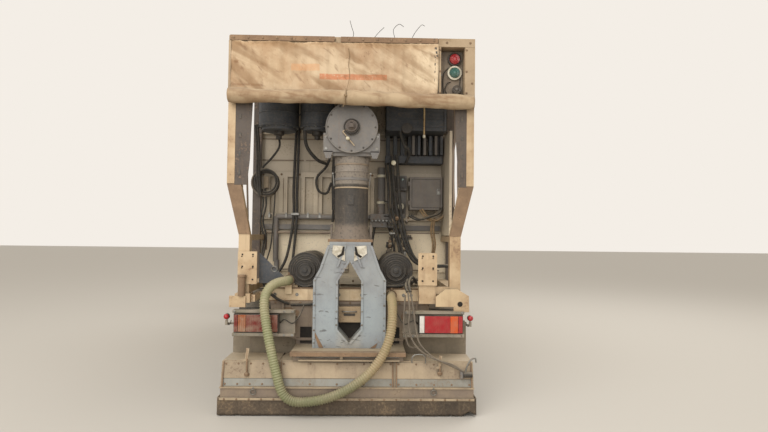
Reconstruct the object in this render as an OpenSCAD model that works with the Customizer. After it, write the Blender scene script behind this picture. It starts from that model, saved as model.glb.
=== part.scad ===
// Road-going binder spreader: three-axle carrier, silo, rear gear bay and full-width spreading box.
// Millimetres. +Y is forward, +X is the right-hand side, +Z is up, and the ground is Z = 0.

/* [Overall] */
// Length from the front bumper to the dust skirt
overall_length = 9000; // [8950:10:9300]
// Width over the hood, the bumper and the dust skirt
body_width = 2500; // [2490:5:2550]
// Height of the rear hood's top edge
hood_top = 3760; // [3740:10:3850]

/* [Wheels] */
// Outer diameter of every tyre
tyre_diameter = 1020; // [980:5:1030]
// Width of one tyre
tyre_width = 285; // [260:5:290]
// Diameter of the rim where the tyre sits
rim_diameter = 571.5; // [500:0.5:590]
// Radius of the stub that carries each wheel
stub_radius = 45; // [38:1:55]
// Front bumper to front axle
front_overhang = 1350; // [1330:5:1370]
// Dust skirt to the last axle
rear_overhang = 1400; // [1390:5:1450]
// Distance between the two rear axles
tandem_spacing = 1350; // [1300:10:1380]
// Centre plane to the middle of a front tyre
front_track = 1040; // [1030:5:1060]
// Centre plane to the middle of a twin wheel
rear_track = 930; // [920:5:935]
// Middle to middle of two twin tyres
twin_pitch = 320; // [300:5:325]

/* [Chassis] */
// Width over the two frame rails
frame_width = 860; // [840:5:880]
// Height of a frame rail
rail_height = 270; // [240:5:300]
// Top of the frame rails above the ground
rail_top = 1010; // [1000:5:1020]
// Flange width of a rail
rail_flange = 80; // [60:5:100]
// Plate thickness of a rail
rail_plate = 12; // [8:1:16]
// Depth of a cross-member
cross_depth = 105; // [80:5:120]
// Centre plane to a leaf spring
spring_x = 520; // [510:5:530]
// Width of a leaf spring
spring_width = 80; // [60:5:90]
// Thickness of one spring leaf
leaf = 15; // [10:1:18]
// Radius of a kingpin
kingpin_radius = 22; // [18:1:26]
// Radius of the cab's tilt pins
tilt_radius = 20; // [14:1:22]

/* [Cab] */
// Length of the cab
cab_length = 1800; // [1760:20:1860]
// Body's side to the side of the cab
cab_inset = 30; // [25:1:50]
// Height of the cab from its floor to its roof
cab_height = 1760; // [1700:20:1800]
// Height of the cab's floor above the ground
cab_bottom = 1180; // [1175:5:1200]
// Thickness of the cab's walls and doors
cab_wall = 55; // [40:5:65]
// Gap round each door
door_gap = 8; // [7:1:12]
// Length of a door opening
door_length = 980; // [900:10:1020]
// Radius of a door's hinge pin
door_pin = 7; // [5:0.5:9]

/* [Silo] */
// Body's side to the silo's wall
silo_inset = 50; // [45:1:60]
// Length of the water tank
tank_length = 900; // [850:10:950]
// Gap between the water tank and the cab
tank_gap = 820; // [760:10:900]
// Top of the silo walls
silo_top = 3560; // [3500:10:3580]
// Height at which the silo's lower walls start to slope
slope_top = 2200; // [2150:10:2350]
// Half width of the trough at the silo's foot
trough_half = 330; // [300:5:350]
// Number of frames that carry the silo
silo_ribs = 5; // [5:1:7]
// Thickness of a silo frame
rib = 60; // [50:5:80]
// Radius of a manhole on the silo roof
manhole_radius = 260; // [220:10:300]
// Radius of the silo's filling pipe
fill_radius = 57; // [45:1:60]

/* [Gear bay] */
// Depth of the bay from its wall to the header
bay_depth = 1220; // [1190:10:1250]
// Height of the header over the bay
header_height = 640; // [600:10:660]
// Depth of the header box
header_depth = 170; // [150:10:200]
// Thickness of the hood's panels
hood_plate = 30; // [20:5:40]
// Width of a hood post
post_width = 140; // [110:5:150]
// Width over the lower bay posts
post_span = 2240; // [2220:10:2260]
// Diameter of the screw conveyor's end plate
disc_diameter = 520; // [480:10:540]
// Height of the screw conveyor's axis
screw_z = 2850; // [2830:10:2880]
// Radius of the screw's shaft
shaft_radius = 38; // [30:1:45]
// Diameter of the drop spout
spout_diameter = 350; // [330:10:370]
// Diameter of the hydraulic drive drums
drum_diameter = 360; // [320:10:370]
// Width of the control cabinet
cabinet_width = 385; // [340:5:400]
// Height of the control cabinet
cabinet_height = 385; // [340:5:390]
// Depth of the control cabinet
cabinet_depth = 200; // [160:5:240]

/* [Spreading box] */
// Depth of the spreading box, front to back
spreader_depth = 430; // [410:5:440]
// Top of the spreading box
spreader_top = 510; // [500:5:530]
// Bottom of the spreading box, where the skirt is clamped
spreader_foot = 150; // [140:5:170]
// Thickness of the rubber skirt and flaps
rubber = 10; // [8:1:12]
// Gap between the skirt and the ground
skirt_clear = 8; // [5:1:20]
// Top of the shelf under the chute
shelf_top = 607; // [600:1:620]
// Width of the shelf under the chute
shelf_width = 1120; // [1080:10:1160]
// Width over the two legs of the chute
chute_width = 735; // [715:5:745]
// Width of one leg of the chute
leg_width = 250; // [235:5:260]
// Depth of the chute, front to back
chute_depth = 240; // [220:5:245]

/* [Suction hose] */
// Outer diameter of the suction hose
hose_diameter = 95; // [80:1:100]

/* [Hidden] */
$fn = 48;

fit = 0.05;  // radial clearance of a turning pin or stub
seat = 0.3;  // gap between pieces that rest against each other
play = 5;    // gap beside a piece that moves
half = body_width / 2;
front_y = overall_length / 2;
rear_y = -overall_length / 2;

axle_z = tyre_diameter / 2;
front_axle_y = front_y - front_overhang;
last_axle_y = rear_y + rear_overhang;
drive_axle_y = last_axle_y + tandem_spacing;
tandem_y = (drive_axle_y + last_axle_y) / 2;
rail_bottom = rail_top - rail_height;
rail_out = frame_width / 2;
frame_front = front_y - 200;
frame_back = rear_y + 760;

cab_width = body_width - 2 * cab_inset;
cab_front = front_y - 60;
cab_back = cab_front - cab_length;
cab_top = cab_bottom + cab_height;
cab_belt = cab_bottom + 0.42 * cab_height;
tilt_y = front_y - 120;
tilt_z = cab_bottom - 35;
bumper_foot = 430;
bumper_shelf = 760;
bumper_top = cab_bottom - 70;

header_y = rear_y + 200;
header_foot = hood_top - header_height;
wall_y = header_y + bay_depth;
wall_plate = 40;
wall_relief = 45;
wall_face = wall_y - wall_relief - seat;
silo_back = wall_y + wall_plate;
silo_front = cab_back - tank_gap - tank_length - 60;
silo_length = silo_front - silo_back;
silo_width = body_width - 2 * silo_inset;
silo_foot = rail_top + 90;
deck_z = silo_top + 110;
roof_under = hood_top - hood_plate - seat;

spreader_back = rear_y + rubber + 10;
spreader_front = spreader_back + spreader_depth;
hopper_y = spreader_front + 30;
flap_y = spreader_front + 130;
chute_y = header_y + 30;
beam_y = chute_y + chute_depth + 15;
beam_foot = 1045;
beam_top = 1185;

// Places a box by its low and high corners.
module span(x0, x1, y0, y1, z0, z1)
    translate([x0, y0, z0]) cube([x1 - x0, y1 - y0, z1 - z0]);

module both_sides() {
    children();
    mirror([1, 0, 0]) children();
}

// Round bars along each axis, from one end to the other.
module bar_x(r, x0, x1, y, z) translate([x0, y, z]) rotate([0, 90, 0]) cylinder(r = r, h = x1 - x0);
module bar_y(r, y0, y1, x, z) translate([x, y0, z]) rotate([-90, 0, 0]) cylinder(r = r, h = y1 - y0);
module bar_z(r, z0, z1, x, y) translate([x, y, z0]) cylinder(r = r, h = z1 - z0);

// Round bar in the centre plane, from one (y, z) to another.
module shaft(r, a, b)
    translate([0, a[0], a[1]]) rotate([atan2(b[1] - a[1], b[0] - a[0]), 0, 0]) bar_y(r, 0, norm(b - a), 0, 0);

// Extrudes a drawing made in Y and Z sideways, and one made in X and Z forwards.
module across(x0, x1) translate([x0, 0, 0]) rotate([90, 0, 90]) linear_extrude(x1 - x0) children();
module along(y0, y1) translate([0, y1, 0]) rotate([90, 0, 0]) linear_extrude(y1 - y0) children();

// A rectangle with round corners, about its middle.
module soft_rect(w, h, r) {
    square([w - 2 * r, h], center = true);
    square([w, h - 2 * r], center = true);
    for (x = [-1, 1], y = [-1, 1]) translate([x * (w / 2 - r), y * (h / 2 - r)]) circle(r);
}

// Chassis: two channel rails, their cross-members and the brackets of the cab's tilt pins.
bracket_x = 330;
bracket_width = 40;
lug_width = 46;
tilt_eye = tilt_radius + 8;
module frame() color("dimgray") {
    cross_y = [frame_back + 60, last_axle_y - 330, tandem_y, drive_axle_y + 620, drive_axle_y + 1900,
               front_axle_y - 1200, frame_front - 60];
    both_sides() {
        difference() {
            span(rail_out - rail_flange, rail_out, frame_back, frame_front, rail_bottom, rail_top);
            span(rail_out - rail_flange - 1, rail_out - rail_plate, frame_back - 1, frame_front + 1,
                 rail_bottom + rail_plate, rail_top - rail_plate);
        }
        span(bracket_x, rail_out, frame_front - 150, tilt_y - 40, rail_top - 60, rail_top);
        span(bracket_x, bracket_x + bracket_width, tilt_y - 160, tilt_y + tilt_eye, rail_top - 60, tilt_z);
        bar_x(tilt_eye, bracket_x, bracket_x + bracket_width, tilt_y, tilt_z);
        bar_x(tilt_radius, bracket_x + 1, bracket_x + bracket_width + lug_width + 6, tilt_y, tilt_z);
    }
    for (y = cross_y)
        span(1 - rail_out, rail_out - 1, y - 45, y + 45, rail_top - 20 - cross_depth, rail_top - 20);
}

// Axles: front beam with its kingpin bosses, two rear casings with their stubs, and the shafts between.
kingpin_x = front_track - 180;
boss_radius = 50;
boss_half = 75;
beam_height = 110;
beam_depth = 90;
casing_radius = 65;
nose = 300;
stub_root = rear_track - twin_pitch / 2 - tyre_width / 2 - 15;
gearbox_back = front_axle_y - 1050;
gearbox_z = 790;
module axles() color("dimgray") {
    difference() {
        union() {
            span(-kingpin_x, kingpin_x, front_axle_y - beam_depth / 2, front_axle_y + beam_depth / 2,
                 axle_z - beam_height / 2, axle_z + beam_height / 2);
            both_sides() bar_z(boss_radius, axle_z - boss_half, axle_z + boss_half, kingpin_x, front_axle_y);
        }
        both_sides() bar_z(kingpin_radius + fit, axle_z - 100, axle_z + 100, kingpin_x, front_axle_y);
    }
    for (y = [drive_axle_y, last_axle_y]) {
        bar_x(casing_radius, -stub_root, stub_root, y, axle_z);
        bar_x(190, -110, 110, y, axle_z);
        bar_y(85, y, y + nose, 0, axle_z);
        both_sides() bar_x(stub_radius, stub_root - 1, rear_track + 150, y, axle_z);
    }
    shaft(48, [drive_axle_y + nose - 1, axle_z], [gearbox_back - 4, gearbox_z]);
    shaft(42, [last_axle_y + nose - 1, axle_z], [drive_axle_y - 180, axle_z]);
}

// Leaf packs: the front pair sits on the axle beam, and the rear pair rocks between the two axles.
module leaf_pack(y, long, leaves)
    for (n = [0 : leaves - 1])
        let (cut = n * long / (2 * leaves + 1))
            span(spring_x - spring_width / 2, spring_x + spring_width / 2, y - long / 2 + cut, y + long / 2 - cut,
                 n * leaf, (n + 1) * leaf + 0.01);

module springs() color("darkslategray") both_sides() {
    spring_out = spring_x + spring_width / 2;
    front_seat = axle_z + beam_height / 2 + seat;
    rear_seat = axle_z + casing_radius + seat;
    translate([0, 0, front_seat + 3 * leaf]) mirror([0, 0, 1]) leaf_pack(front_axle_y, 1300, 3);
    for (y = [front_axle_y - 640, front_axle_y + 550])
        span(rail_out, spring_out, y, y + 90, front_seat + 3 * leaf - 1, rail_top - 60);
    translate([0, 0, rear_seat]) leaf_pack(tandem_y, tandem_spacing + 140, 4);
    span(rail_out, spring_out, tandem_y - 130, tandem_y + 130, rear_seat + 4 * leaf - 1, rail_top - 60);
}

engine_half = bracket_x - 10;
engine_foot = axle_z + beam_height / 2 + 40;
module engine() color("gray") {
    span(-engine_half, engine_half, front_axle_y - 380, frame_front - 130, engine_foot, cab_bottom - 60);
    span(-210, 210, gearbox_back, front_axle_y - 379, gearbox_z - 160, gearbox_z + 85);
    both_sides() span(engine_half - 1, rail_out - rail_plate - seat, front_axle_y + 100, front_axle_y + 200,
                      rail_bottom + 60, rail_bottom + 120);
}

// Boxes on the frame's sides: fuel tank on the left, battery box and air tanks on the right.
module side_boxes() color("silver") {
    tank_width = 560;
    tank_height = 480;
    tank_x = rail_out + 55 + tank_width / 2;
    along(drive_axle_y + 1000, drive_axle_y + 2100)
        translate([-tank_x, rail_top - tank_height / 2 - 60]) soft_rect(tank_width, tank_height, 90);
    for (y = [drive_axle_y + 1150, drive_axle_y + 1950])
        span(-rail_out - 60, -rail_out - seat, y - 40, y + 40, rail_top - 300, rail_top - 120);
    span(rail_out + seat, half - 90, drive_axle_y + 1500, drive_axle_y + 2100, rail_bottom - 120, rail_top - 100);
    for (z = [rail_bottom - 20, rail_bottom + 200]) {
        bar_y(105, drive_axle_y + 800, drive_axle_y + 1420, rail_out + 185, z);
        for (y = [drive_axle_y + 900, drive_axle_y + 1290])
            bar_y(109, y, y + 30, rail_out + 185, z);
    }
    span(rail_out + seat, rail_out + 100, drive_axle_y + 1080, drive_axle_y + 1140, rail_bottom - 50, rail_bottom + 230);
}

// Front panel with the bumper, its lamp recesses, the grille slots and the tow jaw.
jaw_radius = 20.5;
lamp_x = 700;
lamp_wide = 360;
lamp_foot = bumper_foot + 90;
lamp_high = 170;
module front_bumper() color("burlywood") difference() {
    union() {
        span(-half + 5, half - 5, front_y - 150, front_y, bumper_foot, bumper_shelf);
        span(-half + 5, half - 5, front_y - 150, cab_front, bumper_shelf - 1, bumper_top);
        both_sides() span(rail_out - rail_flange, rail_out, frame_front + seat, front_y - 149, rail_bottom + 20,
                          rail_top - 70);
    }
    both_sides() {
        span(lamp_x, lamp_x + lamp_wide, front_y - 60, front_y + 1, lamp_foot, lamp_foot + lamp_high);
        span(bracket_x - 15, bracket_x + bracket_width + lug_width + 20, front_y - 151, cab_front - 15,
             rail_top - 65, bumper_top + 1);
    }
    for (n = [0 : 3])
        span(-620, 620, cab_front - 30, cab_front + 1, bumper_shelf + 30 + n * 75, bumper_shelf + 70 + n * 75);
    span(-90, 90, front_y - 90, front_y + 1, 570, 690);
    bar_z(jaw_radius, 510, bumper_shelf + 1, 0, front_y - 30);
}

module front_lamps() color("white") both_sides()
    span(lamp_x + seat, lamp_x + lamp_wide - seat, front_y - 60 + seat, front_y - 8, lamp_foot + seat,
         lamp_foot + lamp_high - seat);

// Guards: a bent sheet over each steered wheel with the entry steps ahead of it, and one over each tandem.
guard_reach = 690;
guard_sheet = 16;
module mudguards() color("dimgray") both_sides() {
    front_top = cab_bottom - 25;
    sheet = [[-guard_reach, axle_z + 90], [-560, axle_z + 400], [-380, front_top], [380, front_top],
             [560, axle_z + 400], [guard_reach, axle_z + 90]];
    under = [for (n = [5 : -1 : 0]) sheet[n] - [sign(sheet[n][0]) * guard_sheet, guard_sheet]];
    translate([0, front_axle_y, 0]) across(half - 370, half - 20) polygon(concat(sheet, under));
    for (y = [front_axle_y - 300, front_axle_y + 240]) {
        span(rail_out + seat, half - 369, y, y + 60, front_top - 90, front_top - guard_sheet / 2);
        span(rail_out + seat, rail_out + 40, y, y + 60, rail_top - 55, front_top - 30);
    }
    step_back = front_axle_y + guard_reach + 10;
    difference() {
        span(half - 330, half - 15, step_back, front_y - 150 - seat, bumper_foot, bumper_top);
        for (z = [bumper_foot + 40, bumper_foot + 360])
            span(half - 250, half, step_back + 60, front_y - 210, z, z + 260);
    }
    rear_top = silo_foot - 20;
    back = last_axle_y - axle_z - 90;
    ahead = drive_axle_y + axle_z + 90;
    across(half - 650, half - 20)
        polygon([[back - 80, axle_z + 220], [back, rear_top - 140], [back + 150, rear_top], [ahead - 150, rear_top],
                 [ahead, rear_top - 140], [ahead + 110, axle_z + 180], [ahead + 92, axle_z + 176],
                 [ahead - 16, rear_top - 150], [ahead - 158, rear_top - 18], [back + 158, rear_top - 18],
                 [back + 16, rear_top - 150], [back - 62, axle_z + 216]]);
    for (y = [back + 260, tandem_y - 40, ahead - 340]) {
        span(rail_out + seat, rail_out + 60, y, y + 80, rail_top - 60, rear_top - 17);
        span(rail_out + seat, half - 600, y, y + 80, rear_top - 50, rear_top - 17);
    }
}

flap_top = 830;
module mud_flaps() color("darkslategray") both_sides()
    span(560, half - 10, flap_y, flap_y + rubber, 300, flap_top);

// Silo: a closed vessel with a trough at its foot, two manhole necks and the filling pipe.
manhole_y = [silo_back + 0.25 * silo_length, silo_back + 0.75 * silo_length];
neck_height = 110;
hinge_x = manhole_radius + 45;
hinge_z = deck_z + neck_height + 14;
lid_pin = 8;
fill_x = -silo_width / 2 + 43 + fill_radius;
fill_y = drive_axle_y + 855;  // between the rear guard and the fuel tank
fill_foot = silo_foot + 130;
fill_free = 200;  // length of the pipe below its collar, over which a delivery hose is pushed
lug_y = 42;
module silo() color("bisque") {
    shoulder = 160;
    difference() {
        union() {
            along(silo_back, silo_front)
                polygon([[-trough_half, silo_foot], [-silo_width / 2, slope_top], [-silo_width / 2, silo_top],
                         [-silo_width / 2 + shoulder, deck_z], [silo_width / 2 - shoulder, deck_z],
                         [silo_width / 2, silo_top], [silo_width / 2, slope_top], [trough_half, silo_foot]]);
            for (y = manhole_y) bar_z(manhole_radius, deck_z - 1, deck_z + neck_height, 0, y);
            span(-trough_half, trough_half, silo_back, silo_front, silo_foot - 60, silo_foot + 1);
            bar_z(fill_radius, fill_foot, slope_top + 200, fill_x, fill_y);
            bar_z(fill_radius + 12, fill_foot + fill_free, fill_foot + fill_free + 40, fill_x, fill_y);
        }
        for (y = manhole_y) bar_z(manhole_radius - 25, deck_z - 160, deck_z + neck_height + 1, 0, y);
    }
    for (y = manhole_y) {
        for (s = [y - lug_y, y + lug_y]) {
            span(manhole_radius - 12, hinge_x + 14, s - 8, s + 8, deck_z + 40, deck_z + neck_height - 15);
            span(manhole_radius + 30, hinge_x + 14, s - 8, s + 8, deck_z + 40, hinge_z);
            bar_y(lid_pin + 6, s - 8, s + 8, hinge_x, hinge_z);
        }
        bar_y(lid_pin, y - lug_y, y + lug_y, hinge_x, hinge_z);
    }
}

module manhole_lid(y) color("bisque") {
    foot = deck_z + neck_height + seat;
    difference() {
        union() {
            bar_z(manhole_radius + 20, foot, foot + 20, 0, y);
            span(manhole_radius - 20, hinge_x, y - 28, y + 28, foot, foot + 20);
            bar_y(lid_pin + 8, y - 28, y + 28, hinge_x, hinge_z);
        }
        bar_y(lid_pin + fit, y - 60, y + 60, hinge_x, hinge_z);
    }
    span(-70, 70, y - 12, y + 12, foot + 19, foot + 60);
}

// Frames that carry the silo on the rails, with the sills along its sides.
module silo_frames() color("burlywood") both_sides() {
    pitch = (silo_length - rib) / (silo_ribs - 1);
    wall = silo_width / 2 + seat;
    out = half - 15;
    under = silo_foot + 10;
    for (n = [0 : silo_ribs - 1])
        along(silo_back + seat + n * pitch, silo_back - seat + n * pitch + rib) difference() {
            polygon([[out, under], [out, slope_top + 40], [wall, slope_top + 40], [wall, slope_top],
                     [trough_half + seat, silo_foot], [trough_half + seat, rail_top + seat],
                     [rail_out, rail_top + seat], [rail_out, under]]);
            polygon([[out - 60, under + 80], [out - 60, slope_top - 190], [trough_half + 320, under + 80]]);
        }
    span(out - 60, out, silo_back + seat, silo_front, under, under + 70);
    span(rail_out - 60, rail_out, silo_back + seat, silo_front, rail_top + seat, silo_foot - 10);
}

tank_back = silo_front + 60;
module water_tank() color("bisque") {
    long = tank_length;
    high = 1360;
    along(tank_back, tank_back + long) translate([0, silo_foot + 20 + high / 2]) soft_rect(body_width - 120, high, 160);
    both_sides() span(rail_out - 60, rail_out + 20, tank_back + 40, tank_back + long - 40, rail_top + seat,
                      silo_foot + 60);
    bar_z(150, silo_foot + high, silo_foot + high + 70, 600, tank_back + long / 2);
}

// Behind the cab: silencer and stack on a bracket of the left rail, and the air intake on the right rail.
stack_y = tank_back + tank_length + tank_gap / 2;
stack_x = rail_out + 350;
stack_foot = rail_top + seat;
silencer_radius = 130;
pipe_radius = 55;
module stack_bracket(side) mirror([side > 0 ? 0 : 1, 0, 0]) {
    plate = 40;
    span(rail_out - rail_flange, stack_x + 150, stack_y - 70, stack_y + 70, stack_foot, stack_foot + plate);
    along(stack_y - 10, stack_y + 10)
        polygon([[rail_out + seat, rail_top - 200], [rail_out + seat, stack_foot + 1], [stack_x + 100, stack_foot + 1],
                 [stack_x + 100, stack_foot - 25]]);
}

module exhaust() color("gray") {
    long = 1000;
    stack_bracket(-1);
    bar_z(silencer_radius, stack_foot + 39, stack_foot + long, -stack_x, stack_y);
    for (z = [0.15, 0.8] * long) bar_z(silencer_radius + 7, stack_foot + z, stack_foot + z + 50, -stack_x, stack_y);
    bar_z(pipe_radius, stack_foot + long - 1, cab_top + 110, -stack_x, stack_y);
    bar_z(pipe_radius + 8, cab_top + 40, cab_top + 70, -stack_x, stack_y);
}

module air_intake() color("dimgray") {
    can_radius = 165;
    can_top = stack_foot + 560;
    head_foot = cab_top - 130;
    stack_bracket(1);
    bar_z(can_radius, stack_foot + 39, can_top, stack_x, stack_y);
    bar_z(can_radius + 8, can_top - 120, can_top - 90, stack_x, stack_y);
    span(stack_x - 105, stack_x + 105, stack_y - 75, stack_y + 75, can_top - 1, head_foot + 1);
    span(stack_x - 190, stack_x + 190, stack_y - 110, stack_y + 110, head_foot, cab_top + 170);
}

// Hand rails and walkways on the silo, with the ladder on its left side.
guard_height = 519;
hand_radius = 19;
post_radius = 16;
knee_radius = 13;
module roof_rails() color("goldenrod") {
    x = silo_width / 2 - 220;
    deck = deck_z + seat;
    rail_z = deck + guard_height;
    ends = [silo_back + 60, silo_front - 60];
    both_sides() {
        span(480, x + 24, silo_back + 20, silo_front - 20, deck, deck + 26);
        for (n = [0 : 3])
            bar_z(post_radius, deck + 20, rail_z, x, ends[0] + n * (ends[1] - ends[0]) / 3);
        bar_y(hand_radius, ends[0] - 30, ends[1] + 30, x, rail_z);
        bar_y(knee_radius, ends[0], ends[1], x, deck + guard_height / 2);
    }
    bar_x(knee_radius, -x, x, ends[1], rail_z);
    ladder_x = -silo_width / 2 - 26;
    ladder_y = silo_front - 500;
    for (y = [ladder_y, ladder_y + 380]) {
        bar_z(16, silo_foot + 80 + seat, silo_top + 60, ladder_x, y);
        for (z = [slope_top + 110, silo_top - 180])
            span(ladder_x - 5, -silo_width / 2 - seat, y - 20, y + 20, z - 25, z + 25);
    }
    for (n = [0 : 7]) bar_y(12, ladder_y, ladder_y + 380, ladder_x, silo_foot + 235 + n * 300);
}

// Wall at the front of the gear bay, with its rails, its corrugated panel and the panel at the right.
rail_rows = [[1150, 1230], [1925, 1996], [2440, 2500], [2960, 3010]];  // foot and top of each rail
corrugation = 105;
panel_relief = 24;
module bay_wall() color("tan") {
    wide = half - 100;
    span(-wide, wide, wall_y, wall_y + wall_plate - seat, silo_foot - 10, roof_under);
    for (row = rail_rows)
        span(-wide, wide, wall_y - wall_relief, wall_y + 1, row[0], row[1]);
    for (x = [-wide + 30 : 2 * corrugation : wide - corrugation])
        span(x, x + corrugation, wall_y - wall_relief, wall_y + 1, 1995, 2441);
    for (x = [-wide + 20, 60])
        span(x, x + wide - 80, wall_y - panel_relief, wall_y + 1, 1300, 1800);
    span(wide - 90, wide - 60, wall_y - 760, wall_y + 1, fin_foot + 10, 2900);
}

fin_foot = 1740;
module bay_posts() color("burlywood") {
    edge = post_span / 2;
    fin_top = 2250;
    foot_z = 1150;
    lower = 110;
    both_sides() {
        span(half - post_width, half - 1, header_y + 20, header_y + 100, fin_top, header_foot - seat);
        along(header_y + 20, header_y + 100)
            polygon([[half - 1, fin_top + 1], [half - post_width, fin_top + 1], [edge - lower, fin_foot],
                     [edge, fin_foot]]);
        span(edge - lower, edge, header_y + 20, header_y + 130, foot_z, fin_foot + 1);
        // side beams that tie the post back to the wall
        span(edge - lower, edge, header_y + 129, wall_face, foot_z, foot_z + 70);
        span(edge - 60, edge, header_y + 99, wall_y - panel_relief - seat, fin_foot - 60, fin_foot);
        span(edge - 130, edge + 20, header_y - 20, header_y + 130, foot_z - 90, foot_z + 1);
    }
    // bolted plates, each drilled with six holes
    for (x = [-edge, 690]) difference() {
        span(x, x + 190, header_y, header_y + 20.5, 1245, 1570);
        for (u = [40, 150], z = [1290, 1405, 1520]) bar_y(8, header_y - 1, header_y + 22, x + u, z);
    }
    span(700, 870, header_y + 20, header_y + 110, beam_foot + 15, 1570);
    span(869, edge - lower + 1, header_y + 30, header_y + 90, 1160, 1230);
}

// Hood: roof, header box with the signal recess, and short side valances.
signal_x = half - 345;
signal_width = 240;
signal_height = 520;
signal_foot = hood_top - 90 - signal_height;
recess_back = header_y + header_depth - 20;
module hood() color("burlywood") difference() {
    union() {
        span(-half, half, header_y, wall_y + wall_plate, hood_top - hood_plate, hood_top);
        span(-half, half, header_y, header_y + header_depth, header_foot, hood_top - hood_plate + 1);
        both_sides()
            span(half - hood_plate, half, header_y + header_depth - 1, wall_y + wall_plate, hood_top - 210,
                 hood_top - hood_plate + 1);
    }
    span(signal_x, signal_x + signal_width, header_y - 1, recess_back, signal_foot, signal_foot + signal_height);
}

cover_sheet = 12;
roll_radius = 80;
module header_cover() color("wheat")
    span(-half + 25, signal_x - 25, header_y - seat - cover_sheet, header_y - seat, header_foot + 70, hood_top - 60);

module tarp_roll() color("wheat")
    bar_x(roll_radius, -half + 20, half - 20, header_y - seat - roll_radius, header_foot + 5);

module signal_box() color("dimgray") {
    middle = signal_x + 0.6 * signal_width;
    back = recess_back - seat;
    span(signal_x + seat, signal_x + signal_width - seat, back - 20, back, signal_foot + seat,
         signal_foot + signal_height - seat);
    bar_y(58, back - 75, back - 19, middle, signal_foot + 425);
    bar_y(62, back - 90, back - 19, middle, signal_foot + 275);
    bar_y(40, back - 60, back - 19, middle + 22, signal_foot + 75);
}

// Screw conveyor: tube from the wall, end plate, saddle with ears, neck for the spout and the turning shaft.
disc_y = header_y + 60;
disc_radius = disc_diameter / 2;
housing_radius = disc_radius - 35;
plate_thick = 24;
spout_radius = spout_diameter / 2;
spout_y = disc_y + 60 + spout_radius;
neck_foot = screw_z - 290;
hub_radius = 60;
module screw_housing() color("gray") difference() {
    union() {
        bar_y(disc_radius, disc_y, disc_y + plate_thick, 0, screw_z);
        bar_y(housing_radius, disc_y + plate_thick - 1, wall_face, 0, screw_z);
        bar_y(hub_radius + 25, disc_y - 25, disc_y + 1, 0, screw_z);
        span(-290, 290, disc_y + plate_thick - 1, disc_y + plate_thick + 20, screw_z - 255, screw_z - 60);
        span(-spout_radius - 20, spout_radius + 20, spout_y - spout_radius - 10, spout_y + spout_radius + 10,
             neck_foot, screw_z - 100);
        span(-60, 60, wall_y - 400, wall_y - 300, screw_z + housing_radius - 20, roof_under);
    }
    bar_y(shaft_radius + fit, disc_y - 30, disc_y + 90, 0, screw_z);
}

module screw_shaft() color("saddlebrown") {
    bar_y(shaft_radius, disc_y - 90, disc_y + 60, 0, screw_z);
    bar_y(hub_radius, disc_y - 75, disc_y - 25 - play, 0, screw_z);
    // flats for the hand crank, so that its turning shows
    span(-22, 22, disc_y - 125, disc_y - 89, screw_z - 22, screw_z + 22);
}

spout_foot = 1700;
chute_top = 1640;
module drop_spout() color("dimgray") translate([0, spout_y, 0]) {
    top = neck_foot - seat;
    bar_z(spout_radius + 8, top - 70, top, 0, 0);
    bar_z(spout_radius, spout_foot + 110, top - 69, 0, 0);
    bar_z(spout_radius + 6, top - 160, top - 145, 0, 0);
    translate([0, 0, spout_foot]) cylinder(r1 = spout_radius + 35, r2 = spout_radius, h = 111, $fn = 64);
    span(-spout_radius - 45, spout_radius + 45, -spout_radius - 45, spout_radius + 45, spout_foot - 25,
         spout_foot + 1);
    both_sides() span(spout_radius + 20, spout_radius + 44, -16, 16, spout_foot, spout_foot + 160);
}

// Two-legged chute that carries the binder from the spout to the spreading box.
module chute() color("lightsteelblue") {
    out = chute_width / 2;
    inner = out - leg_width;
    foot = shelf_top + seat;
    knee = 1290;
    crotch = 1480;
    along(chute_y, chute_y + chute_depth) difference() {
        polygon([[-out, foot], [-out, knee], [-out + 60, knee + 110], [-out + 130, chute_top - 30], [-225, chute_top],
                 [225, chute_top], [out - 130, chute_top - 30], [out - 60, knee + 110], [out, knee], [out, foot]]);
        polygon([[-inner, foot + 185], [-inner, knee - 10], [0, crotch], [inner, knee - 10], [inner, foot + 185],
                 [0, foot + 50]]);
    }
    span(-210, 210, chute_y + 20, spout_y + spout_radius, chute_top - 1, spout_foot - 25 - seat);
}

// Stepped drums of the hydraulic drives, lying on saddles of the cross beam.
drum_x = 475;
drum_z = 1375;
drum_radius = drum_diameter / 2;
module drive_drums() color("black") both_sides() {
    bar_y(drum_radius, beam_y, wall_face, drum_x, drum_z);
    bar_y(drum_radius - 70, beam_y - 40, beam_y + 1, drum_x, drum_z);
    bar_y(drum_radius - 110, beam_y - 70, beam_y - 39, drum_x, drum_z);
    bar_y(26, beam_y - 90, beam_y - 69, drum_x, drum_z);
}

// Cross beam with the drum saddles, its arms to the frame and the two stubs for the suction hose.
module drum_beam() color("burlywood") {
    reach = 850;
    saddle = drum_z - sqrt(pow(drum_radius, 2) - pow(80, 2)) - seat;
    span(-reach, reach, beam_y, beam_y + 160, beam_foot, beam_top);
    both_sides() {
        span(rail_out - 60, rail_out, beam_y + 159, wall_face, rail_top + seat, beam_top - 10);
        for (x = [drum_x - 140, drum_x + 80]) span(x, x + 60, beam_y + 20, beam_y + 120, beam_top - 1, saddle);
        span(reach - 1, post_span / 2 - 130 - seat, beam_y + 20, beam_y + 100, beam_foot + 20, beam_foot + 90);
        span(post_span / 2 - 170, post_span / 2 - 130 - seat, header_y + 40, beam_y + 100, beam_foot + 20,
             beam_foot + 90);
    }
    first = hose_path[0];
    last = hose_path[len(hose_path) - 1];
    bar_y(hose_diameter / 2 - 4, first[1], beam_y - 10, first[0], first[2]);
    span(first[0] - 40, first[0] + 30, beam_y - 50, beam_y + 1, beam_top - 60, beam_top - 5);
    span(first[0] - 40, first[0] + 30, beam_y - 50, beam_y - 10, beam_top - 6, first[2]);
    bar_y(hose_diameter / 2 - 4, last[1], beam_y + 1, last[0], last[2]);
}

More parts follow.
